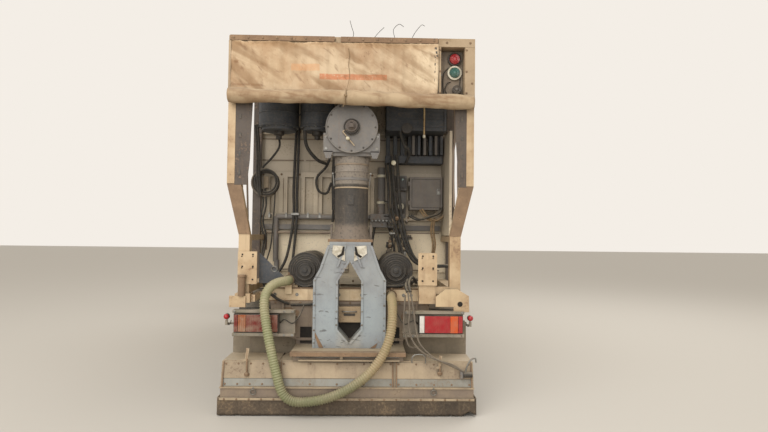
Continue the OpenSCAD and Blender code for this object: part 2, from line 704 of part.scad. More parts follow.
// Dust filters and fan box under the hood, over the bay.
fin_low = screw_z - 250;  // foot of the cooling fins under the fan box
module dust_filters() color("midnightblue") {
    pots = [[390 - half, 225], [830 - half, 195]];  // place across and radius
    pot_foot = fin_low + 360;
    for (p = pots) {
        bar_z(p[1], pot_foot, roof_under, p[0], wall_y - 420);
        bar_z(p[1] - 30, pot_foot - 35, pot_foot + 1, p[0], wall_y - 420);
    }
    left = half - 880;
    right = half - 200;
    fan_foot = fin_low + 330;
    span(left, right, wall_y - 560, wall_face, fan_foot, roof_under);
    for (n = [0 : 7])
        span(left + 10 + n * 86, left + 55 + n * 86, wall_y - 200, wall_face, fin_low + 90, fan_foot + 1);
    span(left, right, wall_y - 240, wall_face, fin_low, fin_low + 91);
}

// Control cabinet with its hinged door.
cabinet_x = half - 590;
cabinet_foot = fin_low - 165 - cabinet_height;
cabinet_y = wall_face - 15 - cabinet_depth;
cabinet_pin = 5;
door_axis = [cabinet_x - 14, cabinet_y - 12];
barrel_rows = [cabinet_foot + 60, cabinet_foot + cabinet_height - 100];
module cabinet() color("slategray") {
    right = cabinet_x + cabinet_width;
    difference() {
        union() {
            span(cabinet_x, right, cabinet_y, cabinet_y + cabinet_depth, cabinet_foot, cabinet_foot + cabinet_height);
            span(cabinet_x + 60, right - 60, cabinet_y + cabinet_depth - 1, wall_face, cabinet_foot + 40,
                 cabinet_foot + cabinet_height - 40);
        }
        span(cabinet_x + 12, right - 12, cabinet_y - 1, cabinet_y + cabinet_depth - 30, cabinet_foot + 12,
             cabinet_foot + cabinet_height - 12);
    }
    for (z = barrel_rows) {
        for (s = [z - 9, z + 41]) {
            bar_z(cabinet_pin + 4, s, s + 8, door_axis[0], door_axis[1]);
            span(cabinet_x - 23, cabinet_x - 5, door_axis[1], cabinet_y + 20, s, s + 8);
            span(cabinet_x - 6, cabinet_x + 1, cabinet_y + 5, cabinet_y + 20, s, s + 8);
        }
        bar_z(cabinet_pin, z - 5, z + 45, door_axis[0], door_axis[1]);
    }
}
module cabinet_door() color("slategray") {
    right = cabinet_x + cabinet_width;
    span(cabinet_x, right, cabinet_y - 17, cabinet_y - seat, cabinet_foot, cabinet_foot + cabinet_height);
    for (z = barrel_rows) difference() {
        union() {
            bar_z(cabinet_pin + 5, z, z + 40, door_axis[0], door_axis[1]);
            span(door_axis[0], cabinet_x + 1, cabinet_y - 17, cabinet_y - 9, z, z + 40);
        }
        bar_z(cabinet_pin + fit, z - 1, z + 41, door_axis[0], door_axis[1]);
    }
    bar_y(12, cabinet_y - 38, cabinet_y - 16, right - 45, cabinet_foot + 230);
}

// Terminal box, valve block and the pipes along the wall.
module valve_gear() color("gray") {
    right = cabinet_x - 30;
    foot = rail_rows[1][1] + 1;
    span(right - 150, right, wall_y - 170, wall_face, cabinet_foot + 235, cabinet_foot + 410);
    span(right - 140, right - 5, wall_y - 110, wall_face, foot, cabinet_foot + 220);
    bar_y(42, wall_y - 160, wall_y - 109, right - 72, foot + 93);
    bar_z(45, foot, cabinet_foot + 510, right - 300, wall_y - 100);
    span(right - 430, right - 170, wall_y - 190, wall_face, foot - 157, foot + 1);
    bar_x(32, -post_span / 2 + 190, right - 429, wall_face - 32, 1960);
    bar_z(32, 1420, 1960, -post_span / 2 + 190, wall_face - 32);
}

// Hopper wall over the spreading box, with its arms to the frame.
hopper_half = 830;
module hopper() color("gray") {
    shelf = shelf_width / 2;
    along(hopper_y, flap_y - 5)
        polygon([[-hopper_half, beam_foot - seat], [-hopper_half, 740], [-shelf, shelf_top + 40],
                 [-shelf, spreader_top - 130], [shelf, spreader_top - 130], [shelf, shelf_top + 40],
                 [hopper_half, 740], [hopper_half, beam_foot - seat]]);
    both_sides() span(rail_out - 60, rail_out, flap_y - 6, frame_back - seat, rail_bottom + 20, rail_top - 20);
}

// Spreading box: sloping covers, clamping bar, the shelf under the chute and the brackets to the hopper.
module spreader_box() color("tan") {
    wide = half - 25;
    shelf = shelf_width / 2;
    across(-wide, wide)
        polygon([[spreader_back, 270], [spreader_back + 60, spreader_top], [spreader_front, spreader_top],
                 [spreader_front, 270]]);
    span(-wide, wide, spreader_back, spreader_front, spreader_foot, 262);
    span(-wide, wide, spreader_back + 20, spreader_front - 20, 261, 271);
    span(-shelf, shelf, spreader_back - 15, spreader_front - 1, shelf_top - 30, shelf_top);
    for (x = [-shelf + 30, -70, shelf - 60])
        span(x, x + 30, spreader_back + 60, spreader_front - 1, spreader_top - 1, shelf_top - 29);
    both_sides() span(250, 400, spreader_front - 1, hopper_y - seat, 420, 500);
}

module dust_skirt() color("sienna") {
    top = spreader_foot + 25;
    difference() {
        span(-half, half, rear_y, spreader_front + rubber, skirt_clear, top);
        span(-half + rubber, half - rubber, rear_y + rubber, spreader_front + seat, skirt_clear - 1, top + 1);
    }
    // clamping strips between the skirt and the box
    span(-half + 30, half - 30, rear_y + rubber - 1, spreader_back - seat, spreader_foot + 2, top);
    both_sides() span(half - 25 + seat, half - rubber + 1, spreader_back, spreader_front, spreader_foot + 2, top);
}

// Channels that hold the tail lamps and the mud flaps, with a marker stalk at each end.
bracket_back = header_y - 60;
bracket_low = 735;
bracket_high = 965;
bracket_out = half - 100;
marker_x = half - 35;
marker_foot = 890;
module lamp_brackets() color("darkseagreen") both_sides() {
    for (z = [bracket_low, bracket_high])
        span(540, bracket_out, bracket_back, bracket_back + 90, z, z + 28);
    span(540, bracket_out, bracket_back + 80, bracket_back + 95, bracket_low, bracket_high + 28);
    span(560, 640, bracket_back + 94, hopper_y - seat, 800, 900);
    span(bracket_out - 80, bracket_out - 10, bracket_back + 94, flap_y + rubber + 50, flap_top + 2, flap_top + 70);
    span(560, half - 20, flap_y + rubber + seat, flap_y + rubber + 50, flap_top - 40, flap_top + 10);
    // bent stalk of the marker lamp
    span(bracket_out - 1, marker_x + 12, bracket_back + 80, bracket_back + 95, 840, 858);
    span(marker_x - 12, marker_x + 12, bracket_back + 30, bracket_back + 95, 840, 858);
    span(marker_x - 12, marker_x + 12, bracket_back + 30, bracket_back + 50, 840, marker_foot);
}

module tail_lamps() color("firebrick") both_sides() {
    span(700, bracket_out - 20, bracket_back - 15, bracket_back + 80 - seat, bracket_low + 45, bracket_high - 12);
    bar_y(34, bracket_back + 5, bracket_back + 75, marker_x, marker_foot + 34 + seat);
}

// Suction hose, from one stub of the cross beam round under the shelf to the other.
hose_path = [
    [-640, -4075, 1270], [-640, -4150, 1270], [-662, -4218, 1270], [-704, -4274, 1264], [-750, -4322, 1246],
    [-790, -4366, 1212], [-815, -4402, 1160], [-825, -4430, 1095], [-820, -4454, 1015], [-803, -4478, 925],
    [-784, -4500, 835], [-762, -4520, 745], [-739, -4537, 655], [-715, -4552, 565], [-691, -4562, 475],
    [-666, -4568, 385], [-640, -4570, 300], [-613, -4570, 238], [-570, -4570, 191], [-515, -4570, 163],
    [-450, -4570, 154], [-370, -4570, 158], [-290, -4570, 169], [-215, -4570, 185], [-142, -4570, 208],
    [-70, -4570, 238], [15, -4570, 282], [98, -4570, 336], [176, -4568, 398], [246, -4564, 470],
    [307, -4558, 552], [356, -4550, 640], [392, -4540, 735], [414, -4524, 830], [424, -4500, 925],
    [427, -4460, 1012], [426, -4400, 1076], [424, -4320, 1108], [422, -4220, 1120], [422, -4090, 1120]];
function unit(v) = v / norm(v);
function tangent(path, n) = unit(path[min(n + 1, len(path) - 1)] - path[max(n - 1, 0)]);
function ring(path, n, r, sides) =
    let (t = tangent(path, n), u = unit(cross(t, [0.995, 0.0999, 0])), v = cross(t, u))
        [for (k = [0 : sides - 1]) path[n] + r * (cos(k * 360 / sides) * u + sin(k * 360 / sides) * v)];
module sweep(path, r, sides) {
    rings = len(path);
    points = [for (n = [0 : rings - 1]) each ring(path, n, r, sides)];
    skin = [for (n = [0 : rings - 2], k = [0 : sides - 1])
        let (a = n * sides + k, b = n * sides + (k + 1) % sides) each [[a, b, b + sides], [a, b + sides, a + sides]]];
    caps = [[for (k = [sides - 1 : -1 : 0]) k], [for (k = [0 : sides - 1]) (rings - 1) * sides + k]];
    polyhedron(points, concat(skin, caps));
}
module suction_hose() color("darkkhaki") sweep(hose_path, hose_diameter / 2, 12);

// Cab shell with its windows, door openings, tilt lugs and door hinge brackets.
cab_rake = 130;
door_front = cab_front - 230;
door_back = door_front - door_length;
door_foot = cab_bottom + 50;
door_head = cab_top - 210;
door_hinge = [cab_width / 2 + 16, door_front + 5];
door_barrels = [door_foot + 130, cab_belt - 80];
module cab_outline(inset)
    polygon([[cab_back + inset, cab_bottom + inset], [cab_front - inset, cab_bottom + inset],
             [cab_front - inset, cab_belt], [cab_front - cab_rake - inset, cab_top - 150],
             [cab_front - cab_rake - 150, cab_top - inset], [cab_back + 90, cab_top - inset],
             [cab_back + inset, cab_top - 90]]);

module cab() color("bisque") {
    side = cab_width / 2;
    lug_x = bracket_x + bracket_width + 2;
    difference() {
        union() {
            across(-side, side) cab_outline(0);
            both_sides() {
                bar_x(32, lug_x, lug_x + lug_width - 4, tilt_y, tilt_z);
                span(lug_x, lug_x + lug_width - 4, tilt_y - 32, tilt_y + 32, tilt_z, cab_bottom + 1);
            }
        }
        across(-side + cab_wall, side - cab_wall) cab_outline(cab_wall);
        span(-side + 150, side - 150, cab_front - 420, cab_front + 1, cab_belt + 30, cab_top - 200);
        span(-650, 650, cab_back - 1, cab_back + cab_wall + 1, cab_belt + 120, cab_top - 260);
        both_sides() {
            span(side - cab_wall - 1, side + 1, door_back, door_front, door_foot, door_head);
            bar_x(tilt_radius + fit, bracket_x, bracket_x + 200, tilt_y, tilt_z);
        }
    }
    both_sides() for (z = door_barrels) {
        for (s = [z - 13, z + 43])
            span(side - 1, door_hinge[0] + 12, door_hinge[1] - 6, door_hinge[1] + 30, s, s + 12);
        bar_z(door_pin, z - 10, z + 50, door_hinge[0], door_hinge[1]);
    }
}

module door(side) color("bisque") mirror([side > 0 ? 0 : 1, 0, 0]) {
    out = cab_width / 2;
    difference() {
        span(out - cab_wall, out, door_back + door_gap, door_front - door_gap, door_foot + door_gap,
             door_head - door_gap);
        span(out - cab_wall - 1, out + 1, door_back + 90, door_front - 90, cab_belt + 60, door_head - 90);
    }
    for (z = door_barrels) difference() {
        union() {
            bar_z(door_pin + 5, z, z + 42, door_hinge[0], door_hinge[1]);
            span(out - 1, door_hinge[0], door_front - 80, door_front - door_gap - 1, z, z + 42);
            span(out + 3, door_hinge[0] + 6, door_front - 80, door_hinge[1], z, z + 42);
        }
        bar_z(door_pin + fit, z - 1, z + 43, door_hinge[0], door_hinge[1]);
    }
}

pane = 6;
module cab_glass() color("lightcyan", 0.5) {
    side = cab_width / 2 - 150 - seat;
    lean = cab_rake / (cab_top - 150 - cab_belt);
    low = cab_belt + 30 + seat;
    high = cab_top - 200 - seat;
    bottom_y = cab_front - 20 - lean * (low - cab_belt);
    top_y = cab_front - 20 - lean * (high - cab_belt);
    across(-side, side) polygon([[bottom_y, low], [top_y, high], [top_y - pane, high], [bottom_y - pane, low]]);
    span(-650 + seat, 650 - seat, cab_back + 20, cab_back + 20 + pane, cab_belt + 120 + seat, cab_top - 260 - seat);
}

// Seats, dashboard and steering wheel.
module cab_interior() color("darkslategray") {
    floor = cab_bottom + cab_wall + seat;
    inner = cab_width / 2 - cab_wall - 15;
    both_sides() {
        span(440, 840, door_back + 80, door_back + 500, floor, floor + 300);
        span(400, 880, door_back + 40, door_back + 560, floor + 299, floor + 420);
        span(400, 880, door_back - 60, door_back + 60, floor + 330, floor + 1000);
    }
    span(-inner, inner, cab_front - 420, cab_front - cab_wall - 60, cab_belt - 260, cab_belt - 20);
    span(-400, 400, cab_front - 380, cab_front - cab_wall - 60, floor, cab_belt - 259);
    translate([-640, cab_front - 400, cab_belt - 60]) rotate([25, 0, 0]) {
        bar_z(22, -60, 120, 0, 0);
        translate([0, 0, 120]) rotate_extrude() translate([215, 0]) circle(16);
        span(-215, 215, -18, 18, 112, 128);
    }
}

module mirrors() color("black") both_sides() {
    x = cab_width / 2 + seat;
    y = cab_front - 175;
    for (z = [cab_belt + 120, cab_belt + 620])
        span(x, x + 70, y, y + 40, z, z + 40);
    bar_z(16, cab_belt + 110, cab_belt + 670, x + 55, y + 20);
    span(x + 45, x + 225, y - 10, y + 50, cab_belt + 180, cab_belt + 600);
}

// Steering knuckle: a yoke on the kingpin, its arm, and the stub for the wheel.
yoke_gap = 2;
yoke_plate = 30;
arm_reach = 240;
rod_pin = 12;
open_play = 0.5;  // radial clearance at the tie rod's right pin, where the linkage is open
arm_z = -boss_half - yoke_gap - yoke_plate;
module knuckle(side) color("dimgray") mirror([side > 0 ? 0 : 1, 0, 0]) translate([kingpin_x, front_axle_y, axle_z]) {
    bar_z(kingpin_radius, -boss_half - 25, boss_half + 25, 0, 0);
    for (z = [arm_z, boss_half + yoke_gap]) span(-45, 95, -45, 45, z, z + yoke_plate);
    span(boss_radius + 12, 96, -45, 45, arm_z, boss_half + yoke_gap + yoke_plate);
    bar_x(stub_radius, 95, front_track - kingpin_x + 130, 0, 0);
    difference() {
        span(-24, 24, -arm_reach - 30, -44, arm_z, arm_z + 25);
        bar_z(rod_pin + (side > 0 ? open_play : fit), arm_z - 1, arm_z + 26, 0, -arm_reach);
    }
}

module tie_rod() color("dimgray") translate([0, front_axle_y - arm_reach, axle_z + arm_z]) {
    bar_x(18, -kingpin_x, kingpin_x, 0, -28);
    both_sides() {
        bar_z(28, -46, -play, kingpin_x, 0);
        bar_z(rod_pin, -play - 1, 25, kingpin_x, 0);
    }
}

// Tyre: a solid ring of the tyre's section, turned about the wheel's axis, which lies along X.
module tyre(x, y) translate([x, y, axle_z]) rotate([0, 90, 0]) rotate_extrude($fn = 64) {
    inner = rim_diameter / 2 + seat;
    outer = tyre_diameter / 2;
    w = tyre_width / 2;
    polygon([[inner, -w + 40], [inner + 75, -w], [outer - 45, -w + 8], [outer, -w + 45], [outer, w - 45],
             [outer - 45, w - 8], [inner + 75, w], [inner, w - 40]]);
}

// Rim: barrel and dished disc. The disc meets the barrel at "at" and lies "dish" further out at the hub.
module rim(x, y, at, dish) translate([x, y, axle_z]) rotate([0, 90, 0]) difference() {
    r = rim_diameter / 2;
    w = tyre_width / 2 - 22;
    hub = stub_radius + fit;
    union() {
        rotate_extrude($fn = 64)
            polygon([[r, -w], [r, w], [r - 22, w], [r - 22, at + 8], [150, at + dish + 8], [hub, at + dish + 8],
                     [hub, at + dish - 8], [150, at + dish - 8], [r - 22, at - 8], [r - 22, -w]]);
        difference() {
            translate([0, 0, at + dish - 60]) cylinder(r = 105, h = 120);
            translate([0, 0, at + dish - 61]) cylinder(r = hub, h = 122);
        }
    }
    for (a = [0 : 45 : 315])
        rotate([0, 0, a]) translate([200, 0, at - 80]) cylinder(r = 24, h = 160, $fn = 24);
}

// A twin wheel: two tyres, and two rims whose discs meet at the shared hub.
module twin_tyres(side, y) color("black")
    for (s = [-1, 1]) tyre(side * (rear_track + s * twin_pitch / 2), y);
module twin_rims(side, y) color("tan") {
    for (s = [-1, 1]) rim(side * (rear_track + s * twin_pitch / 2), y, -side * s * 60, -side * s * 50);
    translate([side * rear_track, y, axle_z]) rotate([0, 90, 0]) difference() {
        cylinder(r = 105, h = twin_pitch - 60, center = true);
        cylinder(r = stub_radius + fit, h = twin_pitch, center = true);
    }
}

frame();
axles();
springs();
engine();
side_boxes();
front_bumper();
front_lamps();
mudguards();
mud_flaps();
silo();
silo_frames();
water_tank();
roof_rails();
exhaust();
air_intake();
bay_wall();
bay_posts();
hood();
header_cover();
tarp_roll();
signal_box();
screw_housing();
drop_spout();
chute();
drive_drums();
drum_beam();
dust_filters();
valve_gear();
cabinet();
hopper();
spreader_box();
dust_skirt();
lamp_brackets();
tail_lamps();
suction_hose();
cab();
cab_glass();
cab_interior();
mirrors();
door(-1);  // door_left
door(1);  // door_right
knuckle(-1);  // knuckle_left
knuckle(1);  // knuckle_right
tie_rod();
color("black") tyre(-front_track, front_axle_y);  // tyre_front_left
color("black") tyre(front_track, front_axle_y);  // tyre_front_right
color("tan") rim(-front_track, front_axle_y, -40, -50);  // rim_front_left
color("tan") rim(front_track, front_axle_y, 40, 50);  // rim_front_right
twin_tyres(-1, drive_axle_y);  // tyres_drive_left
twin_tyres(1, drive_axle_y);  // tyres_drive_right
twin_rims(-1, drive_axle_y);  // rims_drive_left
twin_rims(1, drive_axle_y);  // rims_drive_right
twin_tyres(-1, last_axle_y);  // tyres_last_left
twin_tyres(1, last_axle_y);  // tyres_last_right
twin_rims(-1, last_axle_y);  // rims_last_left
twin_rims(1, last_axle_y);  // rims_last_right
screw_shaft();
cabinet_door();
manhole_lid(manhole_y[1]);  // lid_front
manhole_lid(manhole_y[0]);  // lid_rear
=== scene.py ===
import math
import random

import bmesh
import bpy
from mathutils import Matrix, Vector, noise


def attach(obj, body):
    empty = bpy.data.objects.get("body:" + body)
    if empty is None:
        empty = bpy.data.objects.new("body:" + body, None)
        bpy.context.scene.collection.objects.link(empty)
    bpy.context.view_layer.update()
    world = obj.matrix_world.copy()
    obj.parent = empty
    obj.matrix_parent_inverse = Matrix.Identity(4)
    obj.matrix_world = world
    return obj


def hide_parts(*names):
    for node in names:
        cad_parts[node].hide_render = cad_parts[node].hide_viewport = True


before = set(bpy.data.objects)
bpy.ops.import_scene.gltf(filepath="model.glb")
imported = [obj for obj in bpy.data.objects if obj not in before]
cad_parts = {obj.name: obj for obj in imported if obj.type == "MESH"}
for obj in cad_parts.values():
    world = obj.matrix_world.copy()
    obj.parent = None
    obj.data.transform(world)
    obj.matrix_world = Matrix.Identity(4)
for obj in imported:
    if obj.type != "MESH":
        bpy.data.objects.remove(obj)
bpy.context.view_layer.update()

random.seed(7)
rearward, upward = (0, -1, 0), (0, 0, 1)
print("stage: frame loaded")


# Helpers. Shapes are written in millimetres in the frame of the part and scaled once, when a piece is done.
def hexColour(code):
    parts = [int(code[n:n + 2], 16) / 255 for n in (1, 3, 5)]
    return (*(p / 12.92 if p <= 0.04045 else ((p + 0.055) / 1.055) ** 2.4 for p in parts), 1.0)


def addNode(tree, kind, links=None, **settings):
    node = tree.nodes.new(kind)
    for key, value in settings.items():
        setattr(node, key, value)
    for key, value in (links or {}).items():
        if isinstance(value, bpy.types.NodeSocket):
            tree.links.new(value, node.inputs[key])
        else:
            node.inputs[key].default_value = value
    return node


def basisOf(axis):
    along = Vector(axis).normalized()
    side = along.orthogonal().normalized()
    return side, along.cross(side), along


def anglesOf(count, start=0):
    return [start + 2 * math.pi * k / count for k in range(count)]


def circle(centre, plane, radius, count, start=0):
    places = []
    for a in anglesOf(count, start):
        place = list(centre)
        place[plane[0]] += radius * math.cos(a)
        place[plane[1]] += radius * math.sin(a)
        places.append(place)
    return places


def flip(points, s):
    return [(s * x, y, z) for x, y, z in points]


def smoothLine(points, parts=6):
    line = [Vector(p) for p in points]
    ends = [2 * line[0] - line[1], *line, 2 * line[-1] - line[-2]]
    out = []
    for n in range(1, len(ends) - 2):
        a, b, c, d = ends[n - 1:n + 3]
        for k in range(parts):
            t = k / parts
            out.append(0.5 * (2 * b + (c - a) * t + (2 * a - 5 * b + 4 * c - d) * t * t
                              + (3 * b - a - 3 * c + d) * t ** 3))
    return [*out, line[-1]]


def evenLine(points, step):
    line, out, left = [Vector(p) for p in points], [Vector(points[0])], step
    for a, b in zip(line, line[1:]):
        here, long = 0.0, (b - a).length
        while here + left <= long:
            here += left
            out.append(a.lerp(b, here / long))
            left = step
        left -= long - here
    return out


def lineLength(points):
    return sum((Vector(b) - Vector(a)).length for a, b in zip(points, points[1:]))


class Piece:
    def __init__(self, name, body="carrier"):
        self.name, self.body, self.shape = name, body, bmesh.new()
        self.finishes, self.finish = [], 0

    def use(self, finish):
        if finish not in self.finishes:
            self.finishes.append(finish)
        self.finish = self.finishes.index(finish)
        return self

    def skin(self, rings, closed=True, capped=True):
        made = [[self.shape.verts.new(p) for p in ring] for ring in rings]
        count = len(made[0])
        for low, high in zip(made, made[1:]):
            for k in range(count if closed else count - 1):
                corner = [low[k], low[(k + 1) % count], high[(k + 1) % count], high[k]]
                self.shape.faces.new(corner).material_index = self.finish
        if closed and capped:
            for ring in (made[0][::-1], made[-1]):
                self.shape.faces.new(ring).material_index = self.finish
        return self

    def plate(self, outline, front, back):
        return self.skin([[(x, y, z) for x, z in outline] for y in (front, back)])

    def box(self, low, high, turn=0):
        (x0, x1), (y0, y1), (z0, z1) = (sorted(pair) for pair in zip(low, high))
        rings = [[(x0, y0, z), (x1, y0, z), (x1, y1, z), (x0, y1, z)] for z in (z0, z1)]
        if turn:
            middle = Vector((x0 + x1, y0 + y1, z0 + z1)) / 2
            spin = Matrix.Rotation(math.radians(turn), 3, "Y")
            rings = [[spin @ (Vector(p) - middle) + middle for p in ring] for ring in rings]
        return self.skin(rings)

    def boxes(self, rows):
        for low, high in rows:
            self.box(low, high)
        return self

    def lathe(self, profile, origin, axis, sides=32):
        side, up, along = basisOf(axis)
        rings = [[Vector(origin) + along * lift + radius * (math.cos(a) * side + math.sin(a) * up)
                  for a in anglesOf(sides)] for radius, lift in profile]
        return self.skin(rings)

    def bar(self, start, end, radius, sides=20):
        axis = Vector(end) - Vector(start)
        return self.lathe([(radius, 0), (radius, axis.length)], start, axis, sides)

    def bars(self, rows, sides=20):
        for start, end, radius in rows:
            self.bar(start, end, radius, sides)
        return self

    def bolt(self, at, axis, size=11):
        self.lathe([(size * 1.45, 0), (size * 1.45, size * 0.25)], at, axis, 16)
        return self.lathe([(size, size * 0.2), (size, size * 0.8), (size * 0.86, size * 0.95)], at, axis, 6)

    def bolts(self, places, axis, size):
        for place in places:
            self.bolt(place, axis, size)
        return self

    def tube(self, points, radius, sides=10):
        line = [Vector(p) for p in points]
        side = None
        rings = []
        for n, p in enumerate(line):
            along = (line[min(n + 1, len(line) - 1)] - line[max(n - 1, 0)]).normalized()
            side = along.orthogonal() if side is None else side - along * side.dot(along)
            side.normalize()
            up = along.cross(side)
            r = radius(n) if callable(radius) else radius
            rings.append([p + r * (math.cos(a) * side + math.sin(a) * up) for a in anglesOf(sides)])
        return self.skin(rings)

    def hoses(self, lines, radius, sides=10, parts=6):
        for line in lines:
            self.tube(smoothLine(line, parts), radius, sides)
        return self

    def torus(self, centre, axis, radius, thick, sides=36, around=8):
        side, up, along = basisOf(axis)
        rings = []
        for a in anglesOf(sides):
            out = math.cos(a) * side + math.sin(a) * up
            rings.append([Vector(centre) + out * (radius + thick * math.cos(b)) + along * thick * math.sin(b)
                          for b in anglesOf(around)])
        return self.skin([*rings, rings[0]], capped=False)

    def sheet(self, at, across, down):
        rows = [[at(u / across, v / down) for u in range(across + 1)] for v in range(down + 1)]
        return self.skin(rows, closed=False)

    def done(self, bevel=0, replaced=(), slot=None, sharp=35, thick=0, weld=False):
        if weld:
            bmesh.ops.remove_doubles(self.shape, verts=self.shape.verts, dist=0.01)
        bmesh.ops.scale(self.shape, vec=(0.001, 0.001, 0.001), verts=self.shape.verts)
        if not thick:
            bmesh.ops.recalc_face_normals(self.shape, faces=self.shape.faces)
        mesh = bpy.data.meshes.new(self.name)
        self.shape.to_mesh(mesh)
        self.shape.free()
        made = bpy.data.objects.new(self.name, mesh)
        bpy.context.scene.collection.objects.link(made)
        for finish in self.finishes:
            mesh.materials.append(finish)
        mesh.shade_smooth()
        mesh.set_sharp_from_angle(angle=math.radians(sharp))
        if thick:
            made.modifiers.new("thickness", "SOLIDIFY").thickness = thick / 1000
        if bevel:
            edge = made.modifiers.new("edges", "BEVEL")
            edge.width, edge.segments = bevel / 1000, 2
            edge.limit_method, edge.angle_limit = "ANGLE", math.radians(40)
        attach(made, self.body)
        if replaced:
            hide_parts(*replaced)
        return made


# Finishes. Each has a base, a stain and a wear colour. Grain, runs, corner, thread, film, patch, weave and
# fold sizes are in millimetres. Grain is drawn at 22 mm and the canvas's weave at 3 mm, coarser than real, so
# that they show.
surface = {"grain": 22, "runs": 48, "stretch": 0.07, "corner": 160, "thread": 0.4, "film": 60}


def weathered(name, tints, patch=420, worn=0.25, streaks=0.25, dust=0.35, rough=0.62, metal=0.0,
              relief=0.6, ior=1.5, dusty="#A89A82", grimeAndShade="#3A332B", dark=0.5, marks=(), weave=0,
              foldShade=None, scuffs=None):
    base, stain, wear = tints.split()
    finish = bpy.data.materials.new(name)
    finish.use_nodes = True
    tree = finish.node_tree
    shader = tree.nodes["Principled BSDF"]
    place = addNode(tree, "ShaderNodeTexCoord").outputs["Object"]
    drawn = addNode(tree, "ShaderNodeMapping", {"Vector": place, "Scale": (1, 1, surface["stretch"])})
    broad, fine, run = [
        addNode(tree, "ShaderNodeTexNoise", {"Vector": vector, "Scale": 1000 / size, "Detail": detail,
                                             "Roughness": rise}).outputs[0]
        for vector, size, detail, rise in ((place, patch, 8, 0.62), (place, surface["grain"], 6, 0.65),
                                           (drawn.outputs[0], surface["runs"], 5, 0.7))]
    chipped = addNode(tree, "ShaderNodeMath", {0: broad, 1: fine}, operation="MULTIPLY").outputs[0]
    axes = addNode(tree, "ShaderNodeSeparateXYZ", {0: place}).outputs
    # Each layer is a colour and the parts whose product is its cover: source, low, high, share. First stains
    # over the base coat, runs from above and chips.
    layers = [(stain, [(broad, 0.38, 0.66, 1)]), (wear, [(run, 0.52, 0.78, streaks)]),
              (wear, [(chipped, 0.36 - 0.12 * worn, 0.42 - 0.1 * worn, min(1.0, 0.35 + worn))])]
    # Marks are soft-edged zones between two places on an axis.
    for mark in marks:
        zone = [(axes[axis], (edge - side) / 1000, (edge + side) / 1000, 1)
                for axis, ends in mark["within"].items()
                for edge, side in zip(ends, (mark["soft"], -mark["soft"]))]
        layers.append((mark["colour"], [(fine, 0.25, 0.5, mark["share"]), *zone]))
    # Painted fold shade and scuffs are noise drawn out along a slope.
    for streak in filter(None, (foldShade, scuffs)):
        sloped = addNode(tree, "ShaderNodeMapping", {"Vector": place, "Scale": (streak["long"], 1, 1),
                         "Rotation": (0, math.radians(streak["angle"]), 0)}, vector_type="TEXTURE")
        crease = addNode(tree, "ShaderNodeTexNoise", {"Vector": sloped.outputs[0], "Detail": 4,
                                                      "Scale": 1000 / streak["size"], "Distortion": 0.5})
        layers.append((streak["colour"], [(crease.outputs[0], *streak["within"], streak["share"])]))
    # Corners darken with painted shade and dirt; dust lies all over and on what faces up.
    corner = addNode(tree, "ShaderNodeAmbientOcclusion", {"Distance": surface["corner"] / 1000}, samples=4)
    normal = addNode(tree, "ShaderNodeNewGeometry").outputs["Normal"]
    facing = addNode(tree, "ShaderNodeSeparateXYZ", {0: normal}).outputs[2]
    layers += [(grimeAndShade, [(corner.outputs["AO"], 0.75, 0.2, dark)]), (dusty, [(fine, 0.35, 0.8, dust * 0.35)]),
               (dusty, [(facing, 0.25, 0.9, 1), (broad, 0.3, 0.6, dust)])]
    colour = hexColour(base)
    for tint, parts in layers:
        share = 1.0
        for source, low, high, top in parts:
            part = addNode(tree, "ShaderNodeMapRange", {0: source, 1: low, 2: high, 4: top},
                           interpolation_type="SMOOTHSTEP").outputs[0]
            share = addNode(tree, "ShaderNodeMath", {0: share, 1: part}, operation="MULTIPLY").outputs[0]
        colour = addNode(tree, "ShaderNodeMix", {0: share, 6: colour, 7: hexColour(tint)},
                         data_type="RGBA").outputs[2]
    tree.links.new(colour, shader.inputs["Base Color"])
    dullest = min(1.0, rough + 0.16)
    sheen = addNode(tree, "ShaderNodeMapRange", {0: fine, 1: 0.3, 2: 0.7, 3: rough - 0.1, 4: dullest})
    tree.links.new(sheen.outputs[0], shader.inputs["Roughness"])
    shader.inputs["Metallic"].default_value = metal
    shader.inputs["IOR"].default_value = ior
    bump = addNode(tree, "ShaderNodeBump", {"Strength": 0.35, "Distance": relief / 1000, "Height": fine})
    if weave:
        threads = addNode(tree, "ShaderNodeTexChecker", {"Vector": place, "Scale": 1000 / weave}).outputs[1]
        bump = addNode(tree, "ShaderNodeBump", {"Strength": 0.3, "Distance": surface["thread"] / 1000,
                                                "Height": threads, "Normal": bump.outputs[0]})
    tree.links.new(bump.outputs[0], shader.inputs["Normal"])
    return finish


def clear(name, colour, rough=0.15, ior=1.49, through=0.0, metal=0.0, dusty="#9A8C76", film=0.3):
    finish = bpy.data.materials.new(name)
    finish.use_nodes = True
    tree = finish.node_tree
    shader = tree.nodes["Principled BSDF"]
    place = addNode(tree, "ShaderNodeTexCoord").outputs["Object"]
    spread = addNode(tree, "ShaderNodeTexNoise", {"Vector": place, "Scale": 1000 / surface["film"],
                                                  "Detail": 6})
    share = addNode(tree, "ShaderNodeMapRange", {0: spread.outputs[0], 1: 0.35, 2: 0.8, 4: film})
    mixed = addNode(tree, "ShaderNodeMix", {0: share.outputs[0], 6: hexColour(colour), 7: hexColour(dusty)},
                    data_type="RGBA")
    tree.links.new(mixed.outputs[2], shader.inputs["Base Color"])
    shader.inputs["Roughness"].default_value = rough
    shader.inputs["IOR"].default_value = ior
    shader.inputs["Metallic"].default_value = metal
    shader.inputs["Transmission Weight"].default_value = through
    return finish


